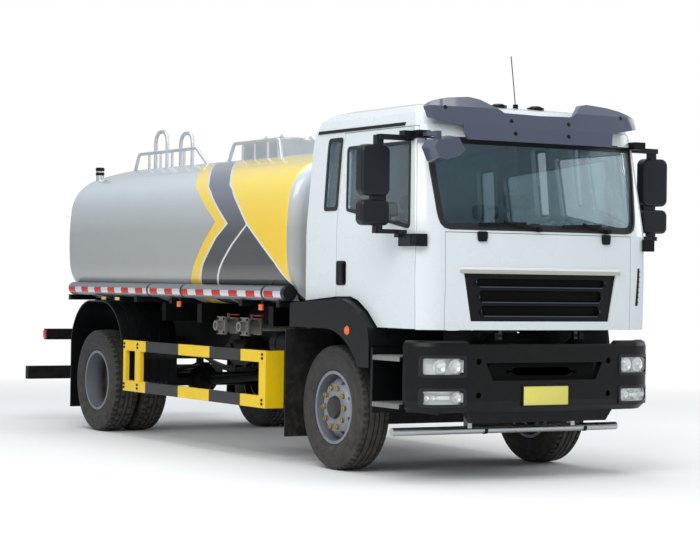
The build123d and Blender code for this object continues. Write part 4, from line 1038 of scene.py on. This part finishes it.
bm = bmesh.new()
pane(bm, rounded(VENT, 0.010), on_cab(-0.001), FORWARD, 0.003)
half_slat = Vector((0.006, 0.012, 0.004))
for step in range(VENT_SLATS):
    rise = VENT_PITCH * step
    middle = cab_front(VENT_FIRST_Y + rise * VENT_LEAN, VENT_FIRST_Z + rise, 0.004)
    slab(bm, middle - half_slat, middle + half_slat, 0.002)
piece("corner_vent", bm, black_plastic, "cab")
print("tabs, plate and vent done")

# %% [markdown]
# A door handle is a rounded backing with an upright grip standing off it on two feet. Each door mirror has a
# main glass and a small wide-angle one, and an amber marker sits on each wheel arch.

# %% Door handles, mirror glass and markers
mirror_glass = finish("mirror_glass", shade(196, 208, 214), 0.04, metal=1, cloud=0.01, depth=0.00001,
                      dust=0.02)
HANDLE = rectangle((0.048, 1.530), (0.205, 1.730))
HANDLE_FEET = (1.562, 1.698)
MIRROR_HEIGHTS = ((2.262, 2.598), (2.020, 2.180))
MARKER = [(-0.004, 0.0), (-0.004, 0.038), (0.006, 0.038), (0.014, 0.030), (0.016, 0.0)]
for hand, side in SIDES:
    bm = bmesh.new()
    pane(bm, rounded(HANDLE, 0.03), on_side(side, -0.001), (0, side, 0), 0.006)
    slab(bm, cab_side(0.140, 1.545, side, 0.012), cab_side(0.192, 1.715, side, 0.030), 0.010)
    for z in HANDLE_FEET:
        slab(bm, cab_side(0.150, z - 0.014, side), cab_side(0.184, z + 0.014, side, 0.02), 0.003)
    piece(f"door_handle_{hand}", bm, black_plastic, f"door_{hand}")
    bm = bmesh.new()
    for low, high in MIRROR_HEIGHTS:
        slab(bm, at(0.9815, side * 1.268, low), at(0.987, side * 1.482, high), 0.002)
    piece(f"mirror_glass_{hand}", bm, mirror_glass, f"door_{hand}")
    bm = bmesh.new()
    turned(bm, MARKER, at(0.375, side * 1.199, 1.165), (0, side, 0), 8)
    piece(f"wing_marker_{hand}", bm, amber, "cab")
print("cab trim done")

# %% [markdown]
# ## On the chassis
# Small things make the truck's underside look used and real. A step has a bare metal tread with raised bars
# across it and a bright front edge.

# %% Step treads
step_metal = finish("step_metal", shade(150, 150, 146), 0.45, metal=0.8, cloud=0.1, dust=0.4)
STEP_TOPS = (0.979, 0.609)
STEP_REAR, STEP_FRONT = 0.768, 1.172
TREAD_BARS = 9
TREAD_PITCH = 0.039
tread = bmesh.new()
for side in (1, -1):
    for top in STEP_TOPS:
        slab(tread, at(STEP_REAR, side * 0.835, top), at(STEP_FRONT, side * 1.186, top + 0.004), 0.001)
        slab(tread, at(STEP_REAR, side * 1.1885, top - 0.034), at(STEP_FRONT, side * 1.1945, top + 0.004),
             0.002)
        for row in range(TREAD_BARS):
            y = side * (0.855 + TREAD_PITCH * row)
            slab(tread, at(0.785, y - 0.006, top + 0.003), at(1.155, y + 0.006, top + 0.008), 0.0015)
piece("step_treads", tread, step_metal, "chassis")
print("step treads done")

# %% [markdown]
# Amber markers hang under the hose tubes on little brackets, and two yellow ones stand over each rear wheel.
# Flat straps go round the tanks on the frame: `hoop` bridges two copies of an outline and gives the strip a
# thickness.

# %% Markers and straps
def hoop(bm, outline, x0, x1, thickness):
    """A flat strap round an outline of (y, z) points, from x0 to x1."""
    outer = loop_of(bm, outline, lambda y, z: at(x0, y, z))
    inner = loop_of(bm, outline, lambda y, z: at(x1, y, z))
    made = bmesh.ops.bridge_loops(bm, edges=outer + inner)["faces"]
    bmesh.ops.recalc_face_normals(bm, faces=made)
    bmesh.ops.solidify(bm, geom=made, thickness=thickness)


def ring(middle, radius, steps=32):
    angles = [2 * math.pi * k / steps for k in range(steps)]
    return [(middle[0] + radius * math.cos(a), middle[1] + radius * math.sin(a)) for a in angles]


SIDE_MARKER_X = (-2.784, -1.131)
ARCH_MARKER_X = (-4.566, -4.230)
FUEL_TANK = rounded(rectangle((0.516, 0.486), (1.084, 0.994)), 0.094)
FUEL_STRAP_X = (-1.84, -1.31)
AIR_TANK_Y = (-0.640, -0.880)
AIR_TANK_Z = 1.0
AIR_TANK_RADIUS = 0.108
AIR_STRAP_X = (-1.29, -0.96)
orange, yellow, straps = bmesh.new(), bmesh.new(), bmesh.new()
for side in (1, -1):
    for x in SIDE_MARKER_X:
        slab(orange, at(x - 0.032, side * 1.186, 1.300), at(x + 0.032, side * 1.206, 1.352), 0.004)
        slab(straps, at(x - 0.018, side * 1.180, 1.346), at(x + 0.018, side * 1.188, 1.395), 0.002)
    for x in ARCH_MARKER_X:
        slab(yellow, at(x - 0.045, side * 1.186, 1.342), at(x + 0.045, side * 1.200, 1.372), 0.003)
for x in FUEL_STRAP_X:
    hoop(straps, FUEL_TANK, x, x + 0.05, -0.004)
for y in AIR_TANK_Y:
    for x in AIR_STRAP_X:
        hoop(straps, ring((y, AIR_TANK_Z), AIR_TANK_RADIUS), x, x + 0.035, -0.003)
piece("side_markers", orange, amber, "chassis")
piece("arch_markers", yellow, plate_yellow, "chassis")
piece("tank_straps", straps, frame_black, "chassis")
print("markers and straps done")

# %% [markdown]
# The outlet valves have red levers and flanges with four bolts. The side guards are bolted to their arms in
# pairs. A bolt is a low turned dome, with few steps because there are many of them.

# %% Levers and bolts
lever_red = finish("lever_red", shade(206, 52, 30), 0.45, cloud=0.1, dust=0.2)
DOME = [(0.0, 0.014), (0.004, 0.014), (0.005, 0.010), (0.012, 0.008), (0.013, 0.0)]
GUARD_BOLT_X = (-3.97, -3.66, -1.05)
GUARD_BOLT_Z = (0.485, 0.520, 0.882, 0.917)
VALVE_X = (-2.41, -1.94)
VALVE_Z = 1.135
FLANGE_HALF = 0.062
bm = bmesh.new()
slab(bm, at(-1.955, -0.880, 1.232), at(-1.740, -0.844, 1.246), 0.005)
slab(bm, at(-2.425, -0.872, 1.234), at(-2.200, -0.852, 1.244), 0.004)
piece("valve_levers", bm, lever_red, "chassis")

bolts = bmesh.new()
for side in (1, -1):
    for x in GUARD_BOLT_X:
        for z in GUARD_BOLT_Z:
            turned(bolts, DOME, at(x, side * 1.2195, z), (0, side, 0), 10)
for x in VALVE_X:
    for dx in (-FLANGE_HALF, FLANGE_HALF):
        for dz in (-FLANGE_HALF, FLANGE_HALF):
            turned(bolts, DOME, at(x + dx, -0.940, VALVE_Z + dz), (0, -1, 0), 6)
piece("guard_bolts", bolts, black_plastic, "chassis")
print("levers and bolts done")

# %% [markdown]
# The radiator stands behind the bumper. Thin upright splash shields stand beside it, between the front
# wheels and the steps and behind the bumper's ends.

# %% Radiator and shields
FIN_ROWS = 24
FIN_FIRST_Z = 0.69
FIN_PITCH = 0.0195
bm = bmesh.new()
slab(bm, at(0.93, -0.40, 0.66), at(0.99, 0.40, 1.16), 0.006)
for row in range(FIN_ROWS):
    z = FIN_FIRST_Z + FIN_PITCH * row
    slab(bm, at(0.988, -0.37, z), at(0.996, 0.37, z + 0.006))
for side in (1, -1):
    slab(bm, at(0.69, side * 0.45, 0.885), at(0.70, side * 1.0, 1.182), 0.002)
    slab(bm, at(1.186, side * 0.45, 0.90), at(1.196, side * 0.80, 1.187), 0.002)
piece("radiator_and_shields", bm, frame_black, "chassis")
print("radiator done")

# %% [markdown]
# Clamps hold the spray pipe, whose place is read from the frame. A black cap and a collar finish the stand
# pipe at the tank's rear, and small caps cover the sun visor's screws. Those are placed by shooting a ray
# backwards at the visor and turning each cap to the surface that it hits.

# %% Clamps and caps
CLAMP_RING = [(-0.014, 0.020), (-0.014, 0.028), (0.014, 0.028), (0.014, 0.020)]
PIPE_RADIUS = 0.024
NOZZLE_CAP = [(0.0, 0.0), (0.0, 0.045), (0.012, 0.047), (0.030, 0.047), (0.038, 0.040), (0.038, 0.0)]
NOZZLE_COLLAR = [(0.0, 0.044), (0.0, 0.046), (0.030, 0.046), (0.030, 0.044)]
VISOR_CAPS = [(-0.86, 2.935), (0.86, 2.935), (-0.28, 2.85), (-0.26, 2.75), (0.28, 2.85), (0.26, 2.75)]
VISOR_CAP = [(-0.004, 0.0), (-0.004, 0.017), (0.004, 0.016), (0.007, 0.0)]
pipe_low, pipe_high = (Vector(corner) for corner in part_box("spray_pipe"))
bm = bmesh.new()
for y in (-0.36, 0.62):
    middle = Vector((pipe_high.x - PIPE_RADIUS, y, pipe_low.z + PIPE_RADIUS))
    turned(bm, CLAMP_RING, middle, (0, 1, 0), 20)
piece("pipe_clamps", bm, black_plastic, "chassis")

bm = bmesh.new()
turned(bm, NOZZLE_CAP, at(-5.430, -0.880, 2.695), (0, 0, 1), 24)
turned(bm, NOZZLE_COLLAR, at(-5.430, -0.880, 2.650), (0, 0, 1), 24)
piece("nozzle_cap", bm, black_plastic, "chassis")

bm = bmesh.new()
for y, z in VISOR_CAPS:
    found, spot, normal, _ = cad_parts["sun_visor"].ray_cast(at(2.2, y, z), (-1, 0, 0))
    if found:
        turned(bm, VISOR_CAP, spot, normal, 12)
piece("visor_caps", bm, black_plastic, "cab")
print("clamps and caps done")

# %% [markdown]
# ### Mudguard ribs
# The rear guards are thin plastic stiffened by ribs that run along the arch. Each rib is a flat outline laid
# on the arch's own curve, up the front edge, over the top and down behind the tyres, and made 12 mm thick.

# %% Ribs
ARCH_FRONT, ARCH_REAR, ARCH_TOP = -4.045, -5.330, 1.318
ARCH_FRONT_FOOT, ARCH_REAR_FOOT = 0.56, 0.24
ARCH_SPRING = 0.93
ARCH_RADIUS = 0.460
ARCH_MIDDLES = (-4.505, -4.870)
ARCH_STEPS = 9
RIBS = 5
RIB_FIRST_Y = 0.70
RIB_PITCH = 0.105
RIB_WIDTH = 0.012


def arch_points(out):
    """Points over the rear mudguard, a given distance outside its lower face."""
    points = [(ARCH_FRONT + out, ARCH_FRONT_FOOT), (ARCH_FRONT + out, ARCH_SPRING)]
    rise = ARCH_TOP + out - ARCH_SPRING
    for quarter, middle_x in enumerate(ARCH_MIDDLES):
        for step in range(1, ARCH_STEPS + 1):
            angle = math.radians(90 * quarter + 10 * step)
            points.append((middle_x + math.cos(angle) * (ARCH_RADIUS + out),
                           ARCH_SPRING + math.sin(angle) * rise))
    return points + [(ARCH_REAR - out, ARCH_SPRING), (ARCH_REAR - out, ARCH_REAR_FOOT)]


RIB = arch_points(0.010) + arch_points(0.021)[::-1]
bm = bmesh.new()
for side in (1, -1):
    for row in range(RIBS):
        y = side * (RIB_FIRST_Y + RIB_PITCH * row) - RIB_WIDTH / 2
        plate(bm, RIB, lambda x, z: at(x, y, z), (0, 1, 0), RIB_WIDTH)
piece("guard_ribs", bm, black_plastic, "chassis")
print("ribs done")

# %% [markdown]
# ## Wheels
# The front wheels show ten nuts with worn yellow plating round a dark hub cap. The rear ones sit deep in the
# outer rim's dish. All are turned pieces, the nuts in six steps so that they come out hexagonal.

# %% Nuts and hub caps
nut_brass = finish("nut_plating", shade(178, 150, 88), 0.4, metal=0.85, cloud=0.2, dust=0.4)
hub_black = finish("hub_black", shade(34, 34, 36), 0.42, cloud=0.15, dust=0.2)
NUTS = 10
NUT_CIRCLE = 0.167
NUT = [(0.0, 0.0), (0.0, 0.0222), (0.0225, 0.0222), (0.0275, 0.016), (0.0275, 0.011), (0.036, 0.010),
       (0.037, 0.0)]
FRONT_CAP = [(0.0985, 0.0975), (0.128, 0.0865), (0.1405, 0.062), (0.1425, 0.054), (0.1425, 0.0)]
REAR_CAP = [(-0.001, 0.1135), (0.111, 0.106), (0.1235, 0.082), (0.1245, 0.060), (0.1245, 0.0)]
# End of the truck, axle's x, wheel's middle, how far outside it the nuts' seat is, and the cap's profile.
WHEELS = [("front", 0.0, FRONT_TYRE_Y, 0.0995, FRONT_CAP), ("rear", REAR_AXLE_X, 0.920, 0.0145, REAR_CAP)]
for end, axle_x, centre_y, seat, cap_profile in WHEELS:
    for hand, side in SIDES:
        nuts, cap = bmesh.new(), bmesh.new()
        for k in range(NUTS):
            angle = 2 * math.pi * k / NUTS
            place = at(axle_x + NUT_CIRCLE * math.cos(angle), side * (centre_y + seat),
                       AXLE_Z + NUT_CIRCLE * math.sin(angle))
            turned(nuts, NUT, place, (0, side, 0), 6)
        turned(cap, cap_profile, at(axle_x, side * centre_y, AXLE_Z), (0, side, 0), 40)
        piece(f"nuts_{end}_{hand}", nuts, nut_brass, f"wheel_{end}_{hand}", smooth=25)
        piece(f"hub_cap_{end}_{hand}", cap, hub_black, f"wheel_{end}_{hand}")
print("wheels done")

# %% [markdown]
# ## Seats
# Two cloth seats on moulded bases. A cushion starts as a cube cut into small squares. Each point is moved
# onto a rounded block, then the face swells between its corners and sinks along the sewn channels. The
# cushions are seen only through tinted glass, so this shaping stands in for a cloth simulation.

# %% Padding
cloth = finish("seat_cloth", shade(58, 62, 70), 0.9, cloud=0.12, cloud_size=9, grain=900, depth=0.0008,
               dust=0.0)
PAD_CUTS = 22
PAD_RADIUS = 0.045
CHANNEL_DEPTH = 0.010
CHANNEL_WIDTH = 0.045
PULL_IN = 0.02


def pad(name, centre, size, turn, crown, channels):
    """A stuffed block: size in x, y and z, swelling along its z, with channels at shares of its width."""
    bm = bmesh.new()
    bmesh.ops.create_cube(bm, size=2)
    bmesh.ops.subdivide_edges(bm, edges=bm.edges[:], cuts=PAD_CUTS, use_grid_fill=True)
    half = Vector(size) / 2
    for vert in bm.verts:
        u, v, w = vert.co
        spot = Vector((u * half.x, v * half.y, w * half.z))
        core = Vector(max(-(h - PAD_RADIUS), min(h - PAD_RADIUS, c)) for c, h in zip(spot, half))
        if (spot - core).length > PAD_RADIUS * 0.001:
            spot = core + (spot - core).normalized() * PAD_RADIUS
        swell = (1 - u * u) * (1 - v * v)
        sink = sum(math.exp(-((abs(v) - c) / CHANNEL_WIDTH) ** 2) for c in channels) * max(0, 1 - u ** 6)
        spot.z += w * (crown * swell - CHANNEL_DEPTH * sink)
        spot.x *= 1 - PULL_IN * (1 - v * v)
        spot.y *= 1 - PULL_IN * (1 - u * u)
        vert.co = spot
    bmesh.ops.transform(bm, matrix=Matrix.Translation(centre) @ turn, verts=bm.verts)
    made = piece(name, bm, cloth, "cab", smooth=60)
    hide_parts("seats")


print("a pad is cut into", (PAD_CUTS + 1) ** 2, "squares on each side")

# %% [markdown]
# Each seat gets a level cushion, a leaning back and a head rest on two posts. The moulded bases and the
# posts are one piece.

# %% Two seats
SEAT_Y = 0.52
BACK_MIDDLE = (-0.15, 1.90)
BACK_LEAN = math.radians(-10)
CHANNELS = (0.55,)
bases = bmesh.new()
lean = Matrix.Rotation(BACK_LEAN, 4, "Y") @ Matrix.Rotation(math.radians(90), 4, "Y")
up = Matrix.Rotation(BACK_LEAN, 4, "Y") @ Vector((0, 0, 1))
for hand, side in SIDES:
    y = side * SEAT_Y
    back = at(BACK_MIDDLE[0], y, BACK_MIDDLE[1])
    slab(bases, at(-0.09, y - 0.19, 1.257), at(0.33, y + 0.19, 1.470), 0.02)
    for x in (-0.03, 0.27):
        slab(bases, at(x - 0.02, y - 0.21, 1.255), at(x + 0.02, y + 0.21, 1.285), 0.006)
    pad(f"seat_cushion_{hand}", at(0.13, y, 1.540), (0.49, 0.47, 0.115), Matrix(), 0.012, CHANNELS)
    pad(f"seat_back_{hand}", back - up * 0.075, (0.54, 0.46, 0.10), lean, 0.010, CHANNELS)
    pad(f"head_rest_{hand}", back + up * 0.285, (0.13, 0.27, 0.085), lean, 0.006, ())
    for dy in (-0.06, 0.06):
        foot = back + Vector((0, dy, 0)) + up * 0.19
        slab(bases, foot - Vector((0.007, 0.007, 0.02)), foot + Vector((0.007, 0.007, 0.05)), 0.003)
seat_bases = piece("seat_bases", bases, dash_grey, "cab")
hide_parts("seats")
print("seats done")

# %% [markdown]
# ## Manway
# Four clamps stand on the lid's rim, each a small foot with a turned knob.

# %% Lid clamps
LID_MIDDLE = (-2.87, 0, 2.941)
CLAMP_CIRCLE = 0.225
KNOB = [(0.0, 0.010), (0.030, 0.010), (0.034, 0.006), (0.034, 0.0)]
bm = bmesh.new()
for k in range(4):
    angle = math.radians(45 + 90 * k)
    spot = at(*LID_MIDDLE) + Vector((math.cos(angle), math.sin(angle), 0)) * CLAMP_CIRCLE
    slab(bm, spot - Vector((0.02, 0.02, 0.003)), spot + Vector((0.02, 0.02, 0.012)), 0.004)
    turned(bm, KNOB, spot, (0, 0, 1), 12)
piece("lid_latches", bm, rail_silver, "lid")
print("lid done")

# %% [markdown]
# ## The floor
# A single large pale sheet. Far from the truck it turns plain white for the camera, so that no horizon line
# crosses the picture.

# %% Floor
FLOOR_HALF = 60
FADE_START, FADE_END = 6.5, 13
floor_mesh = bpy.data.meshes.new("floor")
floor_bm = bmesh.new()
bmesh.ops.create_grid(floor_bm, x_segments=1, y_segments=1, size=FLOOR_HALF)
floor_bm.to_mesh(floor_mesh)
floor_bm.free()
floor = bpy.data.objects.new("floor", floor_mesh)
scene.collection.objects.link(floor)
floor_material, floor_tree, floor_shader, floor_place = start_material("pale_floor")
floor_tone = mix(floor_tree, noise(floor_tree, floor_place, 0.7), shade(243, 243, 242), shade(247, 247, 247))
link(floor_tree, floor_tone, floor_shader.inputs["Base Color"])
floor_shader.inputs["Roughness"].default_value = 0.9
reach = put(floor_tree, "VectorMath", {"operation": "LENGTH"}, Vector=floor_place).outputs["Value"]
far = ramp(floor_tree, reach, FADE_START, FADE_END)
seen = put(floor_tree, "LightPath").outputs["Is Camera Ray"]
white = put(floor_tree, "Emission", Color=WHITE).outputs[0]
fade = put(floor_tree, "MixShader", Fac=calc(floor_tree, "MULTIPLY", far, seen))
floor_tree.links.new(floor_shader.outputs[0], fade.inputs[1])
floor_tree.links.new(white, fade.inputs[2])
floor_tree.links.new(fade.outputs[0], floor_tree.nodes["Material Output"].inputs["Surface"])
floor_mesh.materials.append(floor_material)
print("floor done")
